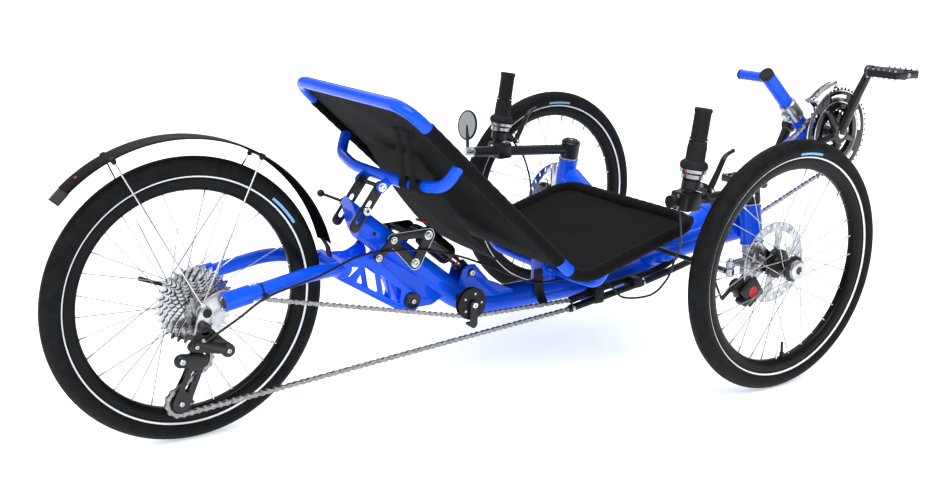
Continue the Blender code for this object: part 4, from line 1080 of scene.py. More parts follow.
def chainrings():
    """Three rings with their bolts."""
    placing = axle_frame(BOTTOM_BRACKET, -1)
    rings = Shape()
    for teeth, height, inner, windows in CHAINRINGS:
        flat = placing @ Matrix.Translation((0, 0, height))
        rings.plate(ring_outlines(teeth, inner, windows), 0.0026, 0, 0, 0.0004, flat)
    for radius, height in ((0.0955, 0.0630), (0.0700, 0.0630)):
        edge = [(radius, height), (radius + 0.0016, height + 0.0006), (radius + 0.0032, height)]
        rings.turned([*edge, (radius + 0.0016, height - 0.0006)], placing, 72, 1)
    for index in range(5):
        middle = polar(math.radians(index * 72), 0.0580, 0.0585)
        rings.turned([(0, 0.0075), (0.0050, 0.0070), (0.0055, 0.0040), (0.0055, -0.0050), (0, -0.0050)],
                     placing @ Matrix.Translation(middle), 18, 1)
    rings.finish("chainrings", "crank", [GLOSS_BLACK, CHROME], ["chainrings"])


def cranks():
    """The right arm with its five-armed spider, and the left arm."""
    placing = axle_frame(BOTTOM_BRACKET, -1)
    centre = BOTTOM_BRACKET
    end = centre - CRANK_REACH
    arm = Shape()
    arm.cross_rod(centre[1:], -0.0760, 0.0720, 0.0118)
    arm.cross_rod(centre[1:], -0.0780, -0.0600, 0.0240)
    for index in range(5):
        angle = math.radians(index * 72)
        root = placing @ polar(angle, 0.0180, 0.0680)
        tip = placing @ polar(angle, 0.0600, 0.0655)
        arm.tube([root, tip], 0.0100, radii=[0.0100, 0.0062], steps=20)
    add_crank_arm(arm, end, -0.0720, -0.0340)
    arm.cross_rod(centre[1:], -0.0800, -0.0770, 0.0110, 1)
    arm.cross_rod(end[1:], end.x + 0.0080, end.x + 0.0100, 0.0062, 1)
    arm.finish("right_crank", "crank", [GLOSS_BLACK, CHROME], ["right_crank"])

    left = Shape()
    left.cross_rod(centre[1:], 0.0640, 0.0860, 0.0180)
    add_crank_arm(left, centre + CRANK_REACH, 0.0760, 0.0360)
    left.cross_rod(centre[1:], 0.0850, 0.0875, 0.0100, 1)
    left.finish("left_crank", "crank", [GLOSS_BLACK, CHROME], ["left_crank"])


def pedal(prefix, side):
    """A cage pedal: body, two rows of pins and the spindle."""
    end = BOTTOM_BRACKET + CRANK_REACH * side
    shape = Shape()
    middle = Vector((side * 0.1640, end.y, end.z))
    shape.side_rod(end[1:], side, 0.0985, 0.2080, 0.0060, 1)
    shape.side_rod(end[1:], side, 0.1190, 0.1990, 0.0120)
    outline = rounded_box(0.0880, 0.0800, 0.0100)
    windows = [shift(rounded_box(0.0680, 0.0200, 0.0050), (0, way * 0.0245)) for way in (-1, 1)]
    flat = Matrix.Translation(middle)
    shape.plate([outline, *windows], 0.0160, 0, 0, 0.0015, flat)
    for way in (-1, 1):
        for index in range(6):
            x = middle.x - 0.036 + index * 0.0144
            y = middle.y + way * 0.0372
            shape.rod((x, y, middle.z - 0.0112), (x, y, middle.z + 0.0112), 0.0021, 1, steps=8)
    shape.finish(prefix + "_pedal", prefix + "_pedal", [BLACK, SILVER], [prefix + "_pedal"])


def rounded_box(width, height, corner):
    """A flat rectangle with round corners."""
    outline = []
    for x, y, start in ((1, 1, 0), (-1, 1, 90), (-1, -1, 180), (1, -1, 270)):
        middle = (x * (width / 2 - corner), y * (height / 2 - corner))
        outline += arc(middle, corner, start, start + 90, 5)
    return outline


def shift(outline, by):
    """An outline, moved."""
    return [(x + by[0], y + by[1]) for x, y in outline]


def pulley(name, body, centre):
    """A toothed derailleur pulley."""
    placing = axle_frame(at_x(CHAIN_X, centre), -1)
    shape = Shape()
    holes = [arc(at_polar(0.0110, 60 * k), 0.0028, 0, 324, 9) for k in range(6)]
    outlines = [sprocket(11, 0.0038, 0.0026), arc((0, 0), 0.0040, 0, 330, 11), *holes]
    shape.plate(outlines, 0.0026, 0, 0, 0.0004, placing)
    hub = [(0.0075, 0.0032), (0.0080, 0.0026), (0.0080, -0.0026), (0.0075, -0.0032)]
    hub += [(0.0036, -0.0032), (0.0036, 0.0032)]
    shape.turned(hub, placing, 24, 1)
    shape.finish(name, body, [MOULDED, STEEL], [name])


def derailleur():
    """The rear derailleur's hanger, links and body."""
    body = Shape()
    body.plate([around([((0.0020, 0.2400), 0.0130), ((0.0120, 0.2140), 0.0095)])], 0.0060, -0.0800, 2, 0.0012)
    body.cross_rod((0.0090, 0.2200), -0.0930, -0.0740, 0.0095)
    knob = [(0, 0), (0.0100, 0), (0.0110, 0.0010), (0.0110, 0.0070), (0.0095, 0.0085), (0.0050, 0.0085)]
    knob += [(0.0045, 0.0060), (0, 0.0060)]
    body.turned(knob, line_frame((-0.0860, 0.009, 0.220), (-0.1, 0.009, 0.220)), 36, 0)
    outline = around([((0.0060, 0.2130), 0.0110), ((-0.0300, 0.1790), 0.0090), ((0.0300, 0.1930), 0.0080)])
    body.plate([outline], 0.0110, -0.0890, 0, 0.0030)
    outline = around([((-0.0280, 0.1790), 0.0120), ((-0.0100, 0.1960), 0.0100)])
    body.plate([outline], 0.0070, -0.0960, 1, 0.0025)
    body.rod((-0.0930, 0.0260, 0.2020), (-0.0980, -0.0220, 0.1860), 0.0060, 0, 0.0075)
    body.bolt((-0.0280, 0.1790), -0.0992, -1, 0.0040, 2)
    body.bolt((0.0240, 0.1930), -0.0940, -1, 0.0035, 2)
    body.rod((-0.0930, 0.0040, 0.1990), (-0.1010, 0.0160, 0.2050), 0.0032, 2, steps=14)
    body.finish("rear_derailleur", "swingarm", [BLACK, GLOSS_BLACK, SILVER], ["rear_derailleur"])


def derailleur_knuckle():
    """The lower knuckle, from which the cage hangs."""
    knuckle = Shape()
    knuckle.plate([around([(GUIDE_PULLEY, 0.0105), ((0.0450, 0.1680), 0.0120)])], 0.0076, -0.0770, 0, 0.0025)
    knuckle.cross_rod((0.0450, 0.1680), -0.0822, -0.0730, 0.0100)
    knuckle.bolt((0.0450, 0.1680), -0.0820, -1, 0.0050, 1)
    knuckle.finish("derailleur_knuckle", "derailleur_knuckle", [BLACK, SILVER], ["derailleur_knuckle"])


def derailleur_cage():
    """The long cage and its two pulleys."""
    cage = Shape()
    outline = around([(GUIDE_PULLEY, 0.0110), (TENSION_PULLEY, 0.0150)])
    y = (GUIDE_PULLEY[0] + TENSION_PULLEY[0]) / 2
    z = (GUIDE_PULLEY[1] + TENSION_PULLEY[1]) / 2
    window = around([((y - 0.0060, z + 0.0120), 0.0050), ((y + 0.0060, z - 0.0120), 0.0050)])
    for offset in (-0.0075, 0.0065):
        cage.plate([outline, window], 0.0016, CHAIN_X + offset, 0, 0.0003)
    for centre in (GUIDE_PULLEY, TENSION_PULLEY):
        cage.cross_rod(centre, CHAIN_X - 0.0085, CHAIN_X + 0.0072, 0.0029, 1, steps=16)
        cage.bolt(centre, CHAIN_X - 0.0083, -1, 0.0042, 1)
    cage.finish("derailleur_cage", "derailleur_cage", [GLOSS_BLACK, SILVER], ["derailleur_cage"])
    pulley("guide_pulley", "guide_pulley", GUIDE_PULLEY)
    pulley("tension_pulley", "tension_pulley", TENSION_PULLEY)


def idler():
    """The grooved idler wheel with its guard, and its bolt and keeper."""
    placing = axle_frame(at_x(0, IDLER_CENTRE), -1)
    wheel = Shape()
    profile = [(0.0305, 0.0690), (0.0310, 0.0684), (0.0310, 0.0672), (0.0300, 0.0667), (0.0225, 0.0658)]
    profile += [(0.0215, 0.0645), (0.0215, 0.0600), (0.0240, 0.0595), (0.0069, 0.0595), (0.0069, 0.0690)]
    wheel.turned(profile, placing, 64)
    flange = [(0.0300, 0.0582), (0.0308, 0.0572), (0.0300, 0.0562), (0.0112, 0.0562), (0.0112, 0.0582)]
    wheel.turned(flange, placing, 64)
    for index in range(5):
        spot = polar(math.radians(index * 72 + 20), 0.0200, 0.0688)
        wheel.rod(placing @ spot, placing @ (spot + Vector((0, 0, 0.0012))), 0.0022, 1, steps=12)
    wheel.finish("chain_idler", "idler", [MOULDED, SILVER], ["chain_idler"])
    bracket = Shape()
    foot = (-0.5270, 0.1310)
    bracket.cross_rod(IDLER_CENTRE, -0.0755, -0.0240, 0.0058)
    bracket.cross_rod(IDLER_CENTRE, -0.0580, -0.0240, 0.0100)
    bracket.plate([around([(IDLER_CENTRE, 0.0085), (foot, 0.0080)])], 0.0030, -0.0735, 0, 0.0006)
    bracket.block((-0.0655, -0.5270, 0.1290), (0.0180, 0.0150, 0.0060))
    bracket.bolt(IDLER_CENTRE, -0.0750, -1, 0.0058, 1)
    bracket.finish("idler_bracket", "frame", [BLACK, CHROME], ["idler_bracket"])


def chain_tubes():
    """The two black tubes round the chain, with their clips."""
    shape = Shape()
    for run in (DRIVE_TUBE, RETURN_TUBE):
        path = rounded(run, 0.04)
        shape.tube(path, 0.0073, steps=20)
        for end, inward in ((path[0], path[1]), (path[-1], path[-2])):
            way = (inward - end).normalized()
            shape.rod(end - way * 0.001, end + way * 0.010, 0.0074, steps=20)
    shape.block((-0.0550, -0.9400, 0.1480), (0.0345, 0.0240, 0.0220), edge=0.003)
    shape.block((-0.0560, -0.8380, 0.1370), (0.0300, 0.0240, 0.0340), edge=0.003)
    shape.finish("chain_tubes", "frame", [MOULDED], ["chain_tubes"])


# ---- frame --------------------------------------------------------------------------------


def trim(shape, point, normal):
    """Cuts away what lies beyond a plane and closes the cut."""
    geometry = shape.mesh.verts[:] + shape.mesh.edges[:] + shape.mesh.faces[:]
    cut = bmesh.ops.bisect_plane(
        shape.mesh, geom=geometry, plane_co=point, plane_no=normal, clear_outer=True
    )
    edges = [item for item in cut["geom_cut"] if isinstance(item, bmesh.types.BMEdge)]
    bmesh.ops.holes_fill(shape.mesh, edges=edges)


def main_frame():
    """The rear frame tube with its gusset, shock bracket, pivots, flange, side plugs and seat saddle."""
    shape = Shape()
    start = (0, FOLD_Y + 0.0006, TUBE_HEIGHT)
    shape.tube(rounded([start, TUBE_BEND, TUBE_REAR], 0.06, 14), TUBE_RADIUS, steps=48)
    trim(shape, (0.0, -0.3055, 0.3495), (0.0, 0.9750, -0.2210))
    gusset = [(-0.350, 0.285), (-0.505, 0.180), (-0.470, 0.162), (-0.425, 0.162), (-0.398, 0.170)]
    shape.plate([gusset], 0.036, 0, 0, 0.004)
    bracket = [(-0.522, 0.180), (-0.536, 0.222), (-0.548, 0.231), (-0.564, 0.230)]
    bracket += [(-0.600, 0.190), (-0.655, 0.166), (-0.655, 0.150), (-0.530, 0.155)]
    for side in (-1, 1):
        shape.plate([bracket, arc(SHOCK_FOOT, 0.0040, 0, 330, 11)], 0.004, side * 0.019, 0, 0.0008)
        plug = (-0.340, 0.319)
        shape.side_rod(plug, side, 0.0236, 0.0266, 0.0066, 0)
        shape.side_rod(plug, side, 0.0236, 0.0269, 0.0042, 1)
    shape.cross_rod(SWINGARM_PIVOT, -0.0245, 0.0245, 0.0190, 0, 48)
    shape.cross_rod(ROCKER_PIVOT, -0.0310, 0.0310, 0.0110, 0, 32)
    shape.rod(start, (0, FOLD_Y + 0.0086, TUBE_HEIGHT), 0.033, 0, steps=48)
    shape.block((0, SEAT_PIVOT[0], 0.188), (0.040, 0.036, 0.052), 0, None, 0.006)
    shape.cross_rod(SEAT_PIVOT, -0.0230, 0.0230, 0.0170, 0, 36)
    shape.finish("main_tube", "frame", [BLUE, MOULDED], ["main_frame"])


def kingpin(side, height):
    """A point on a kingpin's axis at a height above the ground."""
    out = (KINGPIN.z - height) * math.tan(KINGPIN_LEAN)
    return Vector((side * (KINGPIN.x + out), KINGPIN.y, height))


def front_frame():
    """The cross arms with both head tubes, the boom sleeve, and the fold's flange and latch."""
    shape = Shape()
    start = (0, FOLD_Y, TUBE_HEIGHT)
    shape.tube(rounded([start, BOOM_CORNER, SLEEVE_END], 0.05, 12), TUBE_RADIUS, steps=48)
    boom_way = (BOTTOM_BRACKET - SLEEVE_END).normalized()
    shape.rod(SLEEVE_END - boom_way * 0.012, SLEEVE_END, TUBE_RADIUS + 0.0022, steps=48)
    for side in (-1, 1):
        foot = Vector((0, -1.020, 0.175))
        end = Vector((side * 0.2640, -1.022, 0.302))
        middle = foot.lerp(end, 0.72)
        shape.tube([foot, middle, end], 0.0220, radii=[0.0220, 0.0220, 0.0250], steps=40)
        shape.rod(kingpin(side, 0.272), kingpin(side, 0.345), 0.0215, steps=40)
        for height in (0.272, 0.341):
            shape.rod(kingpin(side, height), kingpin(side, height + 0.004), 0.0226, steps=40)
        shape.rod(kingpin(side, 0.3452), kingpin(side, 0.3476), 0.0205, 2, steps=40)
        shape.rod(kingpin(side, 0.2694), kingpin(side, 0.2718), 0.0205, 2, steps=40)
    shape.rod(start, (0, FOLD_Y - 0.008, TUBE_HEIGHT), 0.033, steps=48)
    shape.block((0, -0.868, 0.1130), (0.020, 0.030, 0.022), 0)
    shape.block((0, -0.872, 0.1735), (0.016, 0.036, 0.006), 1)
    shape.rod((0, -0.860, 0.1740), (0, -0.905, 0.1800), 0.0032, 1, steps=14)
    shape.finish("cross_member", "frame", [BLUE, MOULDED, SILVER], ["front_frame"])


def boom():
    """The boom with the bottom bracket shell, the leaning post and its short crossbar."""
    way = (BOTTOM_BRACKET - SLEEVE_END).normalized()
    shape = Shape()
    shape.rod(SLEEVE_END - way * 0.150, BOTTOM_BRACKET, BOOM_RADIUS - 0.0004, steps=48)
    shape.cross_rod(BOTTOM_BRACKET[1:], -0.0350, 0.0350, 0.0210, 0, 48)
    shape.cross_rod(BOTTOM_BRACKET[1:], -0.0390, -0.0345, 0.0190, 1, 40)
    shape.cross_rod(BOTTOM_BRACKET[1:], 0.0345, 0.0440, 0.0190, 1, 40)
    shape.rod(POST_FOOT, POST_TOP, 0.0159, steps=40)
    lean = (POST_TOP - POST_FOOT).normalized()
    shape.rod(POST_TOP - lean * 0.010, POST_TOP + lean * 0.0015, 0.0166, 2, steps=40)
    stub = (-1.361, 0.541)
    shape.cross_rod(stub, 0, 0.0830, 0.0111, 0, 32)
    shape.cross_rod(stub, 0.0800, 0.0850, 0.0118, 2, 32)
    shape.rod((0, -1.463, 0.4470), (0, -1.424, 0.4830), 0.0200, 1, steps=40)
    shape.block((0.0, -1.4310, 0.4530), (0.016, 0.020, 0.022), 1, Matrix.Rotation(-0.75, 4, "X"), 0.002)
    shape.cross_rod((-1.4270, 0.4490), -0.0130, 0.0130, 0.0035, 3, 16)
    shape.finish("boom", "boom", [BLUE, SILVER, MOULDED, CHROME], ["boom"])


def front_derailleur():
    """The bright two-plated cage over the largest ring, with its parallelogram links."""
    centre = BOTTOM_BRACKET[1:]
    outer = arc(centre, 0.1230, 41, 80, 12) + arc(centre, 0.1055, 80, 41, 12)
    inner = arc(centre, 0.1190, 41, 80, 12) + arc(centre, 0.0880, 80, 41, 12)
    shape = Shape()
    shape.plate([outer], 0.0015, -0.0690, 0, 0.0003)
    shape.plate([inner], 0.0015, -0.0490, 0, 0.0003)
    for angle, end in ((43, -0.0360), (78, -0.0490)):
        spot = arc(centre, 0.1130, angle, angle, 1)[0]
        shape.cross_rod(spot, -0.0690, end, 0.0028, 1, 16)
        shape.bolt(spot, -0.0692, -1, 0.0034, 1)
    low = arc(centre, 0.1130, 43, 43, 1)[0]
    high = arc(centre, 0.1080, 62, 62, 1)[0]
    shape.plate([around([(low, 0.0060), (high, 0.0050)])], 0.0040, -0.0440, 1, 0.0010)
    shape.finish("front_derailleur_cage", "shift_cage", [CHROME, STEEL], ["front_derailleur_cage"])


def swingarm():
    """The stays, the dropouts and the two pierced plates that run down to the pivot."""
    outline = [(-0.252, 0.284), (-0.264, 0.246), (-0.300, 0.224), (-0.405, 0.158)]
    outline += [(-0.428, 0.162), (-0.438, 0.188), (-0.405, 0.212), (-0.354, 0.262)]
    outline += [(-0.352, 0.284), (-0.336, 0.292), (-0.310, 0.280)]
    windows = [
        [(-0.278, 0.268), (-0.286, 0.246), (-0.308, 0.262)],
        [(-0.301, 0.236), (-0.345, 0.210), (-0.338, 0.252), (-0.320, 0.264)],
        [(-0.357, 0.202), (-0.392, 0.181), (-0.396, 0.206), (-0.350, 0.243)],
    ]
    outline = soft(outline, 0.006)
    windows = [soft(window, 0.004) for window in windows]
    shape = Shape()
    shape.cross_rod((-0.268, 0.268), -0.048, 0.048, 0.0160, 0, 40)
    for side, out in ((-1, 0.0800), (1, 0.0790)):
        stay = [(side * 0.036, -0.266, 0.268), (side * (out - 0.002), -0.190, 0.281)]
        stay.append((side * out, -0.045, 0.2580))
        shape.tube(rounded(stay, 0.04, 10), 0.0128, steps=32)
        socket = [(side * out, -0.0760, 0.2629), (side * out, -0.0300, 0.2556)]
        shape.tube(socket, 0.0165, steps=32, oval=0.78)
        shape.rod((side * out, -0.0305, 0.2557), (side * out, -0.0296, 0.2556), 0.0095, 3, steps=28)
        dropout = [(-0.062, 0.268), (-0.055, 0.243), (-0.012, 0.227), (0.012, 0.230)]
        dropout += [(0.016, 0.248), (0.004, 0.262), (-0.030, 0.274)]
        shape.plate([soft(dropout, 0.006)], 0.006, side * 0.0705, 1, 0.0010)
        shape.plate([outline, *windows], 0.004, side * 0.0285, 0, 0.0010)
        for place in ((-0.0300, 0.2600), (-0.0300, 0.2420)):
            shape.bolt(place, side * 0.0738, side, 0.0036, 2)
    shape.finish("swingarm", "swingarm", [BLUE, SILVER, CHROME, MOULDED], ["swingarm"])


def swingarm_axles():
    """The rear wheel's axle and the axle of the swingarm's pivot."""
    axle = Shape()
    axle.cross_rod(REAR_AXLE, -0.0820, 0.0850, 0.0050, 0, 24)
    axle.cross_rod(REAR_AXLE, -0.0820, -0.0740, 0.0090, 0, 36)
    axle.cross_rod(REAR_AXLE, -0.0842, -0.0815, 0.0078, 1, 30)
    axle.cross_rod(REAR_AXLE, 0.0740, 0.0855, 0.0085, 0, 36)
    axle.finish("rear_axle", "swingarm", [CHROME, MOULDED], ["rear_axle"])

    pivot = Shape()
    pivot.cross_rod(SWINGARM_PIVOT, -0.0360, 0.0360, 0.0090, 2, 32)
    for side in (-1, 1):
        pivot.side_rod(SWINGARM_PIVOT, side, 0.0312, 0.0368, 0.0160, 0, 40)
        pivot.side_rod(SWINGARM_PIVOT, side, 0.0366, 0.0374, 0.0128, 1, 40)
        pivot.bolt(SWINGARM_PIVOT, side * 0.0370, side, 0.0045, 2)
    pivot.finish("pivot_axle", "frame", [BLACK, GLOSS_BLACK, STEEL], ["swingarm_pivot_axle"])


def soft(outline, reach):
    """A flat outline with its corners rounded off."""
    points = rounded([(0.0, y, z) for y, z in outline], reach, 4, closed=True)
    return [(point.y, point.z) for point in points]


def axle_lever():
    """The rear axle's black quick release lever."""
    cam = Vector((0.0915, 0.0, 0.243))
    pin = Vector((0.0, 0.3748, -0.9271)) * 0.0065
    end = Vector((0.0975, 0.0470, 0.2620))
    shape = Shape()
    shape.rod(cam - pin, cam + pin, 0.0048, steps=28)
    shape.tube([cam, cam.lerp(end, 0.5), end], 0.0040, radii=[0.0034, 0.0036, 0.0042], steps=20)
    shape.ball(end, 0.0046)
    shape.finish("rear_axle_lever", "axle_lever", [BLACK], ["rear_axle_lever"])


FENDER_CENTRE = (0.0100, 0.2470)
BAND_START = 48
BAND_SWEEP = 118
BAND_STEPS = 90
TAIL_START = 43
TAIL_STEPS = 15
FIRST_INNER_QUAD = 8
STAY_ANGLES = (66, 121)
STAY_EYE = (0.0060, 0.2560)


def fender():
    """A crowned band round the top of the rear wheel, with a grey tail, wire stays and black clips."""
    section = [(-0.0250, 0.2702), (-0.0260, 0.2722), (-0.0246, 0.2728), (-0.0150, 0.2737), (0.0, 0.2740)]
    section += [(0.0150, 0.2737), (0.0246, 0.2728), (0.0260, 0.2722), (0.0250, 0.2702), (0.0150, 0.2717)]
    section += [(0.0, 0.2720), (-0.0150, 0.2717)]
    shape = Shape()
    rows = []
    for step in range(BAND_STEPS + 1):
        angle = math.radians(BAND_START + BAND_SWEEP * step / BAND_STEPS)
        rows.append([fender_point(x, radius, angle) for x, radius in section])
    made = shape.skin(rows, ink=lambda i, j: 5 if j >= FIRST_INNER_QUAD else 0)
    shape.cap(made[0][::-1])
    shape.cap(made[-1])
    rows = []
    for step in range(TAIL_STEPS + 1):
        angle = math.radians(TAIL_START + (BAND_START - TAIL_START) * step / TAIL_STEPS)
        lift = 0.0004 if step % 3 == 1 else 0.0
        rows.append([fender_point(x, radius - 0.0012 + lift, angle) for x, radius in section])
    made = shape.skin(rows, ink=1)
    shape.cap(made[0][::-1], 1)
    shape.cap(made[-1], 1)
    add_stays(shape)
    inks = [FENDER_BLACK, TAIL_GREY, CHROME, MOULDED, RED, FENDER_INSIDE]
    shape.finish("rear_fender", "swingarm", inks, ["rear_fender"], 40)


def add_stays(shape):
    """The fender's wire stays with their clips and eyes, its red stud and its front bracket."""
    for degrees in STAY_ANGLES:
        angle = math.radians(degrees)
        for side in (-1, 1):
            eye = at_x(side * 0.0790, STAY_EYE)
            end = fender_point(side * 0.0236, 0.2712, angle)
            shape.rod(eye, end, 0.0016, 2, steps=12)
            shape.ball(end + (eye - end).normalized() * 0.004, 0.0044, 3)
            shape.rod(end, fender_point(side * 0.0236, 0.2745, angle), 0.0048, 3, steps=20)
        low = fender_point(0, 0.2700, angle)
        shape.block(low, (0.0500, 0.0100, 0.0022), 3, Matrix.Rotation(angle - math.pi / 2, 4, "X"), 0.0008)
    shape.ball(fender_point(0, 0.2725, math.radians(54)), 0.0040, 4, (1.6, 1.0, 0.5))
    bracket = [fender_point(0, 0.2690, math.radians(165)), (0, -0.2600, 0.3010), (0, -0.2640, 0.2800)]
    shape.tube(bracket, 0.0024, 3, 16, oval=4.0)
    for side in (-1, 1):
        shape.side_rod(STAY_EYE, side, 0.0775, 0.0805, 0.0045, 2, 20)
        shape.bolt(STAY_EYE, side * 0.0800, side, 0.0040, 2)


def fender_point(x, radius, angle):
    """A point on the fender's band."""
    y, z = FENDER_CENTRE
    return Vector((x, y + radius * math.cos(angle), z + radius * math.sin(angle)))


def suspension():
    """The rocker, its links and the air shock."""
    rocker = Shape()
    outline = around([(ROCKER_PIVOT, 0.013), (ROCKER_TIP, 0.011), (SHOCK_TOP, 0.013)], 40)
    window = [((-0.4160, 0.2730), 0.0035), ((-0.3900, 0.3000), 0.0030), ((-0.4310, 0.2990), 0.0035)]
    for side in (-1, 1):
        rocker.plate([outline, around(window, 16)], 0.005, side * 0.0360, 0, 0.0010)
        rocker.plate([outline, shrunk(outline, 0.0012)], 0.0006, side * 0.0384, 1, 0.0001)
        for place in (ROCKER_PIVOT, SHOCK_TOP):
            rocker.side_rod(place, side, 0.0384, 0.0392, 0.0085, 1, 32)
            rocker.bolt(place, side * 0.0390, side, 0.0058, 2)
    rocker.cross_rod((-0.4100, 0.3130), -0.0360, 0.0360, 0.0060, 0, 28)
    rocker.cross_rod(SHOCK_TOP, -0.0345, -0.0128, 0.0060, 0, 24)
    rocker.cross_rod(SHOCK_TOP, 0.0128, 0.0345, 0.0060, 0, 24)
    rocker.finish("shock_rocker", "rocker", [BLACK, CHROME, SILVER], ["shock_rocker"])
    for prefix, side in (("right", -1), ("left", 1)):
        link_plate = Shape()
        outline = around([(ROCKER_TIP, 0.0080), (LINK_FOOT, 0.0080)], 36)
        link_plate.plate([outline], 0.004, side * 0.0415, 0, 0.0008)
        link_plate.side_rod(LINK_FOOT, side, 0.0315, 0.0400, 0.0050, 0, 20)
        for place in (ROCKER_TIP, LINK_FOOT):
            link_plate.side_rod(place, side, 0.0434, 0.0440, 0.0066, 1, 28)
            link_plate.bolt(place, side * 0.0438, side, 0.0048, 2)
        name = prefix + "_shock_link"
        link_plate.finish(name, prefix + "_link", [BLACK, CHROME, SILVER], [name])
    shock()


def shrunk(outline, by):
    """A flat convex outline, moved inwards."""
    middle = Vector((sum(y for y, z in outline) / len(outline), sum(z for y, z in outline) / len(outline)))
    made = []
    for place in outline:
        away = Vector(place) - middle
        made.append(tuple(middle + away * (1 - by / away.length)))
    return made


def shock_at(distance):
    """A point on the shock's axis, at a distance below its top eye."""
    top = at_x(0, SHOCK_TOP)
    return top + (at_x(0, SHOCK_FOOT) - top).normalized() * distance


def shock():
    """The air can with its red band, knob and lever, the bright shaft, and the foot's bolt."""
    can = Shape()
    axis = line_frame(shock_at(0), shock_at(1))
    profile = [(0, 0.0120), (0.0150, 0.0120), (0.0190, 0.0150), (0.0200, 0.0190), (0.0200, 0.0260)]
    profile += [(0.0210, 0.0270), (0.0210, 0.0820), (0.0195, 0.0850), (0.0195, 0.0872), (0.0165, 0.0880)]
    can.turned([*profile, (0, 0.0880)], axis, 48, 0)
    can.rod(shock_at(0.0790), shock_at(0.0797), 0.0212, 1, steps=48)
    can.cross_rod(SHOCK_TOP, -0.0125, 0.0125, 0.0110, 0, 32)
    can.rod(shock_at(0.0), shock_at(0.020), 0.0095, 0, steps=28)
    knob = shock_at(0.018)
    out = Vector((-1, 0, 0))
    can.rod(knob + out * 0.010, knob + out * 0.022, 0.0065, 0, steps=28)
    lever = [(-0.0160, -0.4330, 0.3330), (-0.0190, -0.4450, 0.3285), (-0.0200, -0.4540, 0.3270)]
    can.tube(lever, 0.0026, 1, 14)
    can.finish("shock_can", "shock_can", [GLOSS_BLACK, RED], ["shock_air_can"])
    shaft = Shape()
    shaft.rod(shock_at(0.062), shock_at(0.128), 0.0085, 0, steps=36)
    shaft.rod(shock_at(0.108), shock_at(0.112), 0.0100, 2, steps=36)
    shaft.rod(shock_at(0.120), shock_at(0.138), 0.0110, 1, steps=32)
    shaft.cross_rod(SHOCK_FOOT, -0.0145, 0.0145, 0.0115, 1, 32)
    shaft.finish("shock_shaft", "shock_shaft", [CHROME, BLACK, RED], ["shock_shaft"])
    foot = Shape()
    for side in (-1, 1):
        foot.side_rod(SHOCK_FOOT, side, 0.0212, 0.0222, 0.0085, 0, 28)
        foot.bolt(SHOCK_FOOT, side * 0.0220, side, 0.0060, 1)
    foot.finish("shock_foot_bolt", "frame", [BLACK, SILVER])


# ---- seat ---------------------------------------------------------------------------------

SLING_LINE = [(-0.3110, 0.5560), (-0.4200, 0.4480), (-0.5500, 0.3200), (-0.6350, 0.2520)]
SLING_LINE += [(-0.6900, 0.2330), (-0.8000, 0.2540), (-0.9570, 0.2990)]
RAIL_LINE = [(-0.3134, 0.5586), (-0.4260, 0.4545), (-0.5598, 0.3307), (-0.6395, 0.2570)]
RAIL_LINE += [(-0.6909, 0.2338), (-0.7990, 0.2581), (-0.9560, 0.3010)]
SLING_HALF_WIDTH = 0.1920
SLING_FLAT = (0.3840, 0.7800)


def hoop_points():
    """The closed line of the tube round the back and the base."""
    corners = []
    for side in (1, -1):
        run = [(side * SEAT_HALF_WIDTH, *place) for place in (SEAT_TOP, SEAT_HIP, SEAT_FRONT)]
        corners += run[::side]
    return rounded(corners, 0.05, 12, closed=True)


def seat_tubes():
    """The blue hoop, the brace with its strut lugs and bolts, and the pivot tube."""
    wide = SEAT_HALF_WIDTH
    middle = (-0.3670, 0.4200)
    brace = [(wide, -0.408, 0.470), (0.185, -0.386, 0.428), (0.100, *middle)]
    pivot = [(wide, -0.740, 0.243), (0.168, -0.744, 0.200), (0.100, *SEAT_PIVOT)]
    shape = Shape()
    shape.tube(hoop_points(), SEAT_TUBE_RADIUS, steps=28, closed=True)
    for half, radius in ((brace, 0.0105), (pivot, 0.0095)):
        whole = half + [(-x, y, z) for x, y, z in reversed(half)]
        shape.tube(rounded(whole, 0.03, 10), radius, steps=28)
    for side in (-1, 1):
        lug = around([(STRUT_TOP, 0.0105), (middle, 0.0080)], 36)
        shape.plate([lug], 0.0052, side * 0.0394, 0, 0.0010)
        shape.side_rod(STRUT_TOP, side, 0.0418, 0.0426, 0.0080, 1, 28)
        shape.bolt(STRUT_TOP, side * 0.0424, side, 0.0052, 1)
        front = (SEAT_FRONT[0] + 0.004, SEAT_FRONT[1] - 0.0010)
        shape.side_rod(front, side, 0.176, 0.190, 0.0113, 2, 28)
    shape.finish("seat_tubes", "seat", [BLUE, CHROME, MOULDED], ["seat_frame"])


SEAM_POINTS = 60


def sleeves():
    """The sling's sleeves round the side tubes and the front bar.

    The first points of the closed line come again at its end, so that a sleeve can cross the seam.
    """
    points = hoop_points()
    shape = Shape()
    for keep in (on_side_tube, on_front_bar):
        run = []
        spread = dense([*points, points[0]], 0.006)
        for point in [*spread, *spread[:SEAM_POINTS]]:
            if keep(point):
                run.append(point)
                continue
            if len(run) > 4:
                add_sleeve(shape, run)
            run = []
        if len(run) > 4:
            add_sleeve(shape, run)
    shape.finish("sling_sleeves", "seat", [SLEEVE_FABRIC])


def on_side_tube(point):
    """True on the side tubes, but not at the hip, where a short length of tube is bare."""
    bare = -0.6480 < point.y < -0.6280
    return abs(point.x) > 0.150 and point.y < -0.338 and not bare


def on_front_bar(point):
    """True on the front bar."""
    return point.y < -0.930


def dense(points, spacing):
    """The same line with more points on it."""
    made = []
    for start, end in zip(points, points[1:]):
        count = max(1, round((end - start).length / spacing))
        made += [start.lerp(end, step / count) for step in range(count)]
    return [*made, points[-1]]


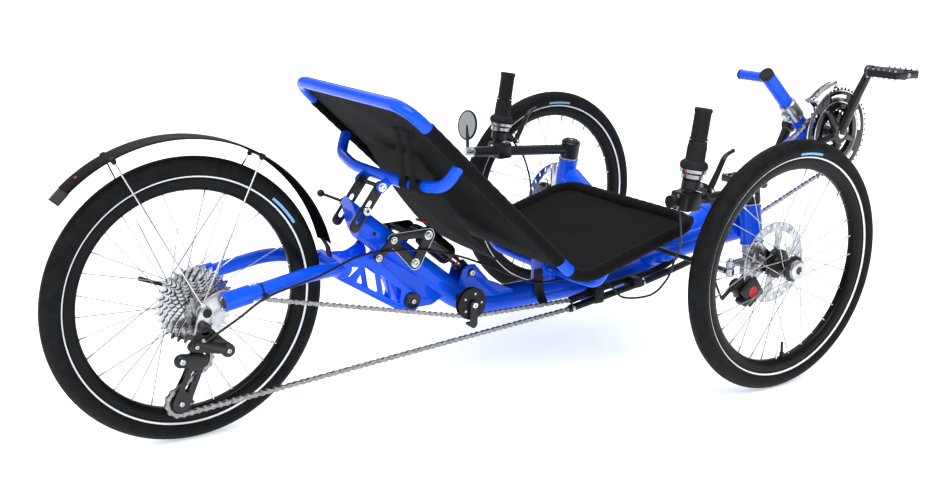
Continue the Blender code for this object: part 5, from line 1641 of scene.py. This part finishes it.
def add_sleeve(shape, run):
    """A fabric tube with a slightly uneven surface."""
    radii = [SEAT_TUBE_RADIUS + 0.0014 + 0.0004 * math.sin(k * 1.7) for k in range(len(run))]
    shape.tube(run, 0.0125, radii=radii, steps=24)


def sling():
    """The mesh of the back and the base: one sheet stretched between the side tubes."""
    line = smooth([(0.0, y, z) for y, z in SLING_LINE], 12)
    rail = smooth([(0.0, y, z) for y, z in RAIL_LINE], 12)
    shape = Shape()
    columns = 60
    rows = []
    spans = [0.0]
    for index, point in enumerate(line):
        after = line[min(index + 1, len(line) - 1)]
        before = line[max(index - 1, 0)]
        along = (after - before).normalized()
        down = Vector((0, along.z, -along.y))
        row = []
        for column in range(columns + 1):
            x = SLING_HALF_WIDTH * (2 * column / columns - 1)
            across = 1 - (x / SLING_HALF_WIDTH) ** 2
            ends = min(1.0, 4 * index / len(line), 4 * (len(line) - 1 - index) / len(line))
            ripple = 0.0007 * math.sin(30 * x + 0.55 * index) + 0.0005 * math.sin(0.9 * index - 55 * x)
            sag = -0.0030 * across * ends + ripple * across
            row.append(rail[index].lerp(point, across) + Vector((x, 0, 0)) - down * sag)
        rows.append(row)
        if index:
            spans.append(spans[-1] + (point - line[index - 1]).length)
    shape.skin(rows, closed_row=False, spans=spans, scale=(2 * SLING_HALF_WIDTH, 1.0))
    piece = shape.finish("seat_sling", "seat", [MESH_FABRIC], ["seat_sling"], 60, recalculate=False)
    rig.sheet(piece, flat=SLING_FLAT, held="stretched", rests_on=["seat_tubes"])


FLAP_LINE = [(-0.3900, 0.4650), (-0.4300, 0.4020), (-0.4715, 0.3450), (-0.5155, 0.2960)]
FLAP_LINE += [(-0.5560, 0.2620), (-0.6200, 0.2300)]
FLAP_WIDTH = 0.2000


def flap():
    """The loose panel of cloth that hangs behind the lower back."""
    line = smooth([(0.0, y, z) for y, z in FLAP_LINE], 8)
    rows = []
    spans = [0.0]
    for index, point in enumerate(line):
        row = []
        for column in range(25):
            share = column / 24
            edge = 0.0070 * math.sin(0.9 * index) + 0.0030 * math.sin(2.3 * index)
            x = (share - 0.5) * FLAP_WIDTH + edge * (1 - share)
            fold = 0.0040 * math.sin(9 * share + 0.35 * index) * min(1.0, index / 8)
            row.append(point + Vector((x, fold * 0.6, fold * 0.8)))
        rows.append(row)
        if index:
            spans.append(spans[-1] + (point - line[index - 1]).length)
    shape = Shape()
    shape.skin(rows, closed_row=False, spans=spans, scale=(FLAP_WIDTH, 1.0))
    piece = shape.finish("back_flap", "seat", [SLEEVE_FABRIC], (), 60, recalculate=False)
    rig.sheet(piece, flat=(FLAP_WIDTH, spans[-1]), held="hung", rests_on=["seat_sling_look"])


def straps():
    """Two webbing straps hung round the brace's right half, and the hems of the sling."""
    shape = Shape()
    for x in (-0.128, -0.094):
        shape.tube([(x + 0.0105, -0.3672, 0.4206), (x - 0.0105, -0.3690, 0.4214)], 0.0124, 0, 24)
        hung = [(x, -0.3560, 0.4200), (x, -0.3570, 0.4450), (x, -0.3500, 0.4900), (x, -0.3430, 0.5200)]
        shape.tube(smooth(hung, 5), 0.0105, 0, 16, oval=0.12)
    for side in (-1, 1):
        line = smooth([(side * 0.1880, y, z) for y, z in RAIL_LINE], 10)
        shape.tube(line, 0.0016, 0, 8)
    top = [(x, SLING_LINE[0][0] + 0.0006, SLING_LINE[0][1] + 0.0008) for x in (-0.183, -0.06, 0.06, 0.183)]
    shape.tube(top, 0.0022, 0, 10)
    shape.finish("sling_hems", "seat", [WEBBING])


def struts():
    """Two slotted plates, the quick release through them, and its ball-ended lever."""
    top = Vector(STRUT_TOP)
    along = (Vector(STRUT_CLAMP) - top).normalized()
    foot = top + along * 0.0850
    slot = [(tuple(top + along * 0.0350), 0.0050), (tuple(top + along * 0.0740), 0.0050)]
    outline = around([(tuple(top), 0.0100), (tuple(foot), 0.0100)], 40)
    shape = Shape()
    for side in (-1, 1):
        shape.plate([outline, around(slot, 28)], 0.006, side * 0.0325, 0, 0.0012)
    shape.cross_rod(STRUT_TOP, -0.0325, 0.0325, 0.0040, 0, 24)
    shape.finish("seat_struts", "struts", [BLACK], ["seat_struts"])
    axle = Shape()
    axle.cross_rod(STRUT_CLAMP, -0.0430, 0.0440, 0.0030, 0, 20)
    axle.cross_rod(STRUT_CLAMP, -0.0430, -0.0362, 0.0080, 0, 32)
    axle.cross_rod(STRUT_CLAMP, 0.0362, 0.0440, 0.0080, 0, 32)
    axle.finish("seat_clamp_axle", "frame", [STEEL], ["seat_clamp_axle"])
    lever = Shape()
    cam = Vector((0.0500, *STRUT_CLAMP))
    pin = Vector((0.0, 0.4008, -0.9162)) * 0.0060
    end = (0.0750, -0.2860, 0.3800)
    lever.rod(cam - pin, cam + pin, 0.0055, 0, steps=28)
    lever.rod(cam, end, 0.0028, 0, steps=18)
    lever.ball(end, 0.0070, 0)
    lever.finish("seat_clamp_lever", "seat_lever", [BLACK], ["seat_clamp_lever"])


# ---- steering -----------------------------------------------------------------------------


def grip_at(side, distance):
    """A point on the upright bar, at a distance above the clamp."""
    return side_point(side, GRIP_FOOT + GRIP_ALONG * distance)


def knuckle(prefix, side):
    """The steerer, the block below it, the stub axle, the steering arm and the brake mount."""
    low = kingpin(side, 0.238)
    hub = side_point(side, FRONT_HUB)
    out = Vector((side * math.cos(CAMBER), 0, -math.sin(CAMBER)))
    arm = Vector((low.x, STEERING_ARM_Y, 0.2400))
    shape = Shape()
    shape.rod(low, kingpin(side, 0.3720), 0.0137, 1, steps=36)
    shape.rod(kingpin(side, 0.236), kingpin(side, 0.269), 0.0190, 0, steps=40)
    shape.rod(hub - out * 0.0660, hub - out * 0.0360, 0.0150, 0, steps=36)
    shape.rod(hub - out * 0.0400, hub + out * 0.0290, 0.0075, 0, steps=24)
    shape.rod((low.x, low.y, 0.2440), arm, 0.0070, 0, steps=24)
    lift = Vector((0, 0, 0.006))
    shape.rod(arm - lift, arm + lift, 0.0090, 0, steps=30)
    shape.rod(arm + lift, arm + Vector((0, 0, 0.011)), 0.0052, 1, steps=6)
    shape.block((side * 0.3070, -1.0060, 0.2280), (0.0130, 0.0400, 0.0200), 0)
    shape.finish(prefix + "_knuckle", prefix + "_steering", [SILVER, STEEL], [prefix + "_knuckle"])


BAR_ENDS = {-1: (-0.2873, -0.808, 0.3778), 1: (0.2900, -0.765, 0.380)}


def handlebar(prefix, side):
    """The steerer clamp, the bar that runs back from it, and the upright bar in its clamp.

    The left bar runs on behind its clamp, because it carries the mirror.
    """
    shape = Shape()
    shape.rod(kingpin(side, 0.3486), kingpin(side, 0.386), 0.0215, 0, steps=44)
    shape.rod(kingpin(side, 0.3855), kingpin(side, 0.3885), 0.0170, 0, steps=40)
    shape.rod(kingpin(side, 0.3880), kingpin(side, 0.3905), 0.0060, 1, steps=20)
    start = Vector((side * 0.2740, -1.020, 0.367))
    end = Vector(BAR_ENDS[side])
    shape.rod(start, end, 0.0111, 0, steps=32)
    clamp = (side * 0.2930, -0.840, 0.378)
    shape.block(clamp, (0.046, 0.038, 0.036), 0, None, 0.006)
    for way in (-1, 1):
        place = Vector(clamp) + Vector((way * 0.0140, 0, 0.0175))
        shape.rod(place, place + Vector((0, 0, 0.0036)), 0.0036, 1, steps=18)
        place = Vector(clamp) + Vector((0, 0.0186, way * 0.0100))
        shape.rod(place, place + Vector((0, 0.0036, 0)), 0.0036, 1, steps=18)
    shape.rod(grip_at(side, 0), grip_at(side, 0.170), 0.0111, 0, steps=32)
    shape.rod(grip_at(side, 0.022), grip_at(side, 0.040), 0.0170, 0, steps=40)
    shape.rod(grip_at(side, 0.040), grip_at(side, 0.059), 0.0195, 0, steps=40)
    shape.rod(grip_at(side, 0.0525), grip_at(side, 0.0592), 0.0246, 1, steps=48)
    shape.ball(grip_at(side, 0.0560) + Vector((-0.0075, 0.0230, 0.0)), 0.0024, 3)
    shape.rod(grip_at(side, 0.042), grip_at(side, 0.0500), 0.0202, 1, steps=40)
    shape.rod(grip_at(side, 0.032), (side * 0.302, -0.878, 0.398), 0.0090, 0, steps=24)
    shape.bolt((-0.8560, 0.4080), side * 0.3130, side, 0.0040, 1)
    plug = Vector((0.0, 0.004, 0.0002))
    shape.rod(end, end + plug, 0.0119, 1 if side > 0 else 2, steps=32)
    name = prefix + "_handlebar"
    shape.finish(name, prefix + "_steering", [BLACK, SILVER, MOULDED, RED], [name])


def grips(prefix, side):
    """The ribbed grip and the twist shifter below it."""
    axis = line_frame(grip_at(side, 0), grip_at(side, 1))
    upper = Shape()
    profile = [(0.0118, 0.1120), (0.0168, 0.1122), (0.0172, 0.1150)]
    for index in range(11):
        start = 0.1160 + index * 0.0042
        profile += [(0.0158, start), (0.0158, start + 0.0010), (0.0150, start + 0.0016)]
        profile += [(0.0150, start + 0.0030), (0.0158, start + 0.0036)]
    profile += [(0.0166, 0.1640), (0.0166, 0.1690), (0.0140, 0.1704), (0, 0.1704)]
    upper.turned([(0, 0.1120), *profile], axis, 40, 0)
    upper.finish(prefix + "_grip", prefix + "_steering", [GRIP], [prefix + "_grip"])
    shifter = Shape()
    profile = [(0.0118, 0.0600), (0.0240, 0.0600), (0.0258, 0.0620), (0.0258, 0.0690), (0.0236, 0.0725)]
    profile += [(0.0180, 0.0765), (0.0166, 0.1020), (0.0172, 0.1070), (0.0168, 0.1108), (0.0118, 0.1110)]
    shifter.turned(profile, axis, 48, 0)
    for index in range(16):
        angle = 2 * math.pi * index / 16
        start = axis @ polar(angle, 0.0166, 0.0770)
        end = axis @ polar(angle, 0.0164, 0.1030)
        shifter.rod(start, end, 0.0014, 0, steps=8, edge=0.0004)
    name = prefix + "_twist_shifter"
    shifter.finish(name, prefix + "_shifter", [GRIP], [name])


def brake_lever(prefix, side):
    """The blade that stands in front of the grip, hooked at its tip."""
    x = side * 0.3020
    path = [(x, -0.8890, 0.3930), (x, -0.9050, 0.4200), (x, -0.9230, 0.4550), (x, -0.9430, 0.4620)]
    points = rounded(path, 0.014, 8)
    count = len(points)
    shape = Shape()
    shape.tube(points, 0.0042, radii=[0.0054 - 0.0020 * k / count for k in range(count)], oval=1.3, steps=20)
    shape.ball(path[-1], 0.0044, 0)
    shape.cross_rod((-0.8900, 0.3930), x - 0.0080, x + 0.0080, 0.0060, 0, 28)
    shape.cross_rod((-0.8900, 0.3930), x - 0.0088, x + 0.0088, 0.0030, 1, 16)
    name = prefix + "_brake_lever"
    shape.finish(name, name, [GLOSS_BLACK, SILVER], [name])


def caliper(prefix, side):
    """The caliper that straddles the disc, with its red knobs and cable arm."""
    tilt = Matrix.Rotation(math.radians(-38), 4, "X")
    shape = Shape()
    shape.block((side * 0.3245, -0.9780, 0.1960), (0.0180, 0.0460, 0.0460), 0, tilt, 0.004)
    shape.block((side * 0.3445, -0.9780, 0.1960), (0.0060, 0.0440, 0.0440), 0, tilt, 0.002)
    shape.block((side * 0.3350, -0.9665, 0.1785), (0.0250, 0.0200, 0.0120), 0, tilt, 0.002)
    shape.side_rod((-0.9720, 0.1990), side, 0.3040, 0.3200, 0.0150, 0, 36)
    shape.side_rod((-0.9720, 0.1990), side, 0.3000, 0.3045, 0.0110, 1, 36)
    shape.side_rod((-0.9780, 0.1960), side, 0.3470, 0.3480, 0.0105, 1, 36)
    shape.rod((side * 0.3040, -0.9720, 0.1990), (side * 0.3040, -0.9400, 0.1760), 0.0040, 0, steps=18)
    for place in ((-0.9900, 0.2060), (-0.9640, 0.1830)):
        shape.bolt(place, side * 0.3158, -side, 0.0038, 2)
    name = prefix + "_brake_caliper"
    shape.finish(name, prefix + "_steering", [BLACK, RED, SILVER], [name])


def tie_rod():
    """The rod between the two steering arms, with its joints and lock nuts."""
    end = kingpin(1, 0.238).x
    shape = Shape()
    low = Vector((-end, STEERING_ARM_Y, TIE_ROD_HEIGHT))
    high = Vector((end, STEERING_ARM_Y, TIE_ROD_HEIGHT))
    shape.rod(low, high, 0.0050, 0, steps=24)
    for side, foot in ((1, low), (-1, high)):
        lift = Vector((0, 0, 0.007))
        inward = Vector((side, 0, 0))
        shape.rod(foot - lift, foot + lift, 0.0085, 1, steps=28)
        shape.rod(foot + inward * 0.012, foot + inward * 0.040, 0.0066, 1, steps=6)
    shape.finish("tie_rod", "tie_rod", [BLACK, STEEL], ["tie_rod"])


MIRROR_TILT = -82
MIRROR_ROLL = 8
MIRROR_TURN = 28


def mirror():
    """An oval mirror on a short stem from the end of the left bar."""
    centre = Vector((0.3400, -0.7850, 0.4300))
    tilt = Matrix.Rotation(math.radians(MIRROR_TILT), 4, "X")
    tilt = tilt @ Matrix.Rotation(math.radians(MIRROR_ROLL), 4, "Y")
    look = Matrix.Rotation(math.radians(MIRROR_TURN), 4, "Z") @ tilt
    placing = Matrix.Translation(centre) @ look @ Matrix.Diagonal((1.05, 1.4, 1, 1))
    shape = Shape()
    rim_profile = [(0, -0.0040), (0.0200, -0.0038), (0.0236, -0.0020), (0.0240, 0.0020), (0.0232, 0.0040)]
    shape.turned([*rim_profile, (0.0216, 0.0040), (0.0212, 0.0028), (0, 0.0028)], placing, 56, 0)
    shape.turned([(0, 0.0022), (0.0213, 0.0022), (0.0213, 0.0031), (0, 0.0031)], placing, 56, 1)
    foot = Vector((0.2920, -0.7540, 0.3820))
    bend = Vector((0.3330, -0.7800, 0.4020))
    shape.tube(rounded([foot, bend, centre], 0.012, 8), 0.0038, 0, 20)
    shape.rod((0.2920, -0.7640, 0.3820), (0.2920, -0.7460, 0.3820), 0.0085, 2, steps=28)
    shape.finish("mirror", "mirror", [MOULDED, MIRROR_GLASS, SILVER], ["mirror"])


# ---- cords --------------------------------------------------------------------------------

CABLE_DIAMETER = 0.0044
REAR_ROUTE = [
    (-0.1010, 0.0100, 0.2030), (-0.1000, -0.0450, 0.2310), (-0.0972, -0.1000, 0.2590),
    (-0.0965, -0.1900, 0.2790), (-0.0760, -0.2450, 0.2870), (-0.0520, -0.3000, 0.2910),
    (-0.0490, -0.3600, 0.2900), (-0.0475, -0.4300, 0.2820), (-0.0420, -0.5000, 0.2620),
    (-0.0360, -0.5600, 0.2380), (-0.0320, -0.6400, 0.2000), (-0.0320, -0.7000, 0.1750),
    (-0.0330, -0.7700, 0.1720), (-0.0500, -0.8350, 0.1720),
]
LOOP_ROUTE = [
    (-0.0500, -0.8350, 0.1720), (-0.0760, -0.8620, 0.1540), (-0.0880, -0.8860, 0.1300),
    (-0.1200, -0.9300, 0.1370), (-0.1500, -0.9430, 0.1750), (-0.1700, -0.9400, 0.2160),
    (-0.2050, -0.9200, 0.2620), (-0.2350, -0.8900, 0.3000), (-0.2600, -0.8600, 0.3380),
    (-0.2660, -0.8500, 0.3520),
]
BRAKE_ROUTE = [
    (0.3020, -0.8840, 0.3900), (0.2960, -0.9060, 0.3600), (0.2900, -0.9220, 0.3120),
    (0.2880, -0.9280, 0.2600), (0.2940, -0.9280, 0.2180), (0.3020, -0.9370, 0.1850),
    (0.3040, -0.9420, 0.1770),
]


def length_of(points):
    """The length of a line through points."""
    return sum((end - start).length for start, end in zip(points, points[1:]))


def cable(name, route, body, nodes=()):
    """A housing along a smooth route, and the line it follows."""
    line = smooth(route, 6)
    shape = Shape()
    shape.tube(line, CABLE_DIAMETER / 2, 0, 16)
    return shape.finish(name, body, [CABLE_BLACK], nodes), line


def cables():
    """The rear derailleur's housing in its two runs, and a brake cable on each side."""
    rear, line = cable("cable_rear_run", REAR_ROUTE, None, ["derailleur_cable"])
    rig.blend(rear, "swingarm", "frame", start=(-0.08, -0.3000, 0.29), end=(-0.04, -0.5000, 0.25))
    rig.cord(rear, line[0], length_of(line), CABLE_DIAMETER, "object", "stiff", "taut", path=line)
    loop, line = cable("cable_front_loop", LOOP_ROUTE, None, ["derailleur_cable"])
    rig.blend(loop, "frame", "right_steering", start=(-0.16, -0.9420, 0.195), end=(-0.2600, -0.8600, 0.338))
    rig.cord(loop, line[0], length_of(line), CABLE_DIAMETER, "object", "stiff", "loose", path=line)
    for prefix, side in (("right", -1), ("left", 1)):
        route = [side_point(side, point) for point in BRAKE_ROUTE]
        piece, line = cable(prefix + "_brake_cable", route, prefix + "_steering")
        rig.cord(piece, line[0], length_of(line), CABLE_DIAMETER, "object", "stiff", "loose", path=line)


# ---- the whole tricycle -------------------------------------------------------------------


def fittings():
    """A cable tie on the right stay, and the chain tubes' hanging strap and clamps."""
    ties = Shape()
    stay = Vector((-0.0795, -0.095, 0.2656))
    half = Vector((0, 0.0016, -0.0002))
    ties.rod(stay - half, stay + half, 0.0138, 0, steps=32)
    ties.block((-0.0965, -0.0970, 0.2600), (0.0070, 0.0060, 0.0080), edge=0.001)
    ties.finish("stay_ties", "swingarm", [MOULDED])
    hanger = Shape()
    strap = rounded([(-0.0250, -0.712, 0.200), (-0.0300, -0.714, 0.1500), (-0.0440, -0.718, 0.1270)], 0.02, 8)
    hanger.tube(strap, 0.0022, 0, 20, oval=5.0)
    hanger.rod((-0.0640, -0.7690, 0.1196), (-0.0640, -0.7750, 0.1204), 0.0090, 1, steps=28)
    hanger.rod((-0.0640, -0.9560, 0.1448), (-0.0640, -0.9600, 0.1454), 0.0088, 1, steps=28)
    hanger.finish("tube_hanger", "frame", [MOULDED, CHROME])


def chain_part(name, keep):
    """One part of the chain: the links whose first pin passes a test."""
    pins = spaced(chain_path(), CHAIN_PITCH)
    count = len(pins)
    shape = Shape()
    for index in range(count):
        if keep(pins[index]):
            add_link(shape, pins[index], pins[(index + 1) % count], index % 2)
    return shape.finish(name, None, [CHAIN_STEEL, STEEL], ["chain"])


def build():
    """Every piece."""
    main_frame()
    front_frame()
    boom()
    front_derailleur()
    swingarm()
    swingarm_axles()
    axle_lever()
    fender()
    suspension()
    rear_wheel()
    cassette()
    seat_tubes()
    sleeves()
    sling()
    flap()
    straps()
    struts()
    for prefix, side in (("right", -1), ("left", 1)):
        knuckle(prefix, side)
        handlebar(prefix, side)
        grips(prefix, side)
        brake_lever(prefix, side)
        caliper(prefix, side)
        front_wheel(prefix, side)
        pedal(prefix, side)
    tie_rod()
    mirror()
    chainrings()
    cranks()
    derailleur()
    derailleur_knuckle()
    derailleur_cage()
    idler()
    chain_tubes()
    rear_links = chain_part("chain_rear", lambda pin: pin.y > CHAIN_SPLIT_Y)
    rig.blend(rear_links, "swingarm", "frame", start=(0, -0.0500, 0.24), end=(0, -0.5000, 0.24))
    front_links = chain_part("chain_front", lambda pin: pin.y <= CHAIN_SPLIT_Y)
    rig.blend(front_links, "frame", "boom", start=(0, -1.2900, 0.30), end=(0, -1.4300, 0.37))
    fittings()


studio()
cables()
build()

SHOWN_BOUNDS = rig.bounds()
with open("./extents.json", "w") as out:
    sizes = {"cad": [list(corner) for corner in CAD_BOUNDS], "shown": [list(corner) for corner in SHOWN_BOUNDS]}
    json.dump(sizes, out)
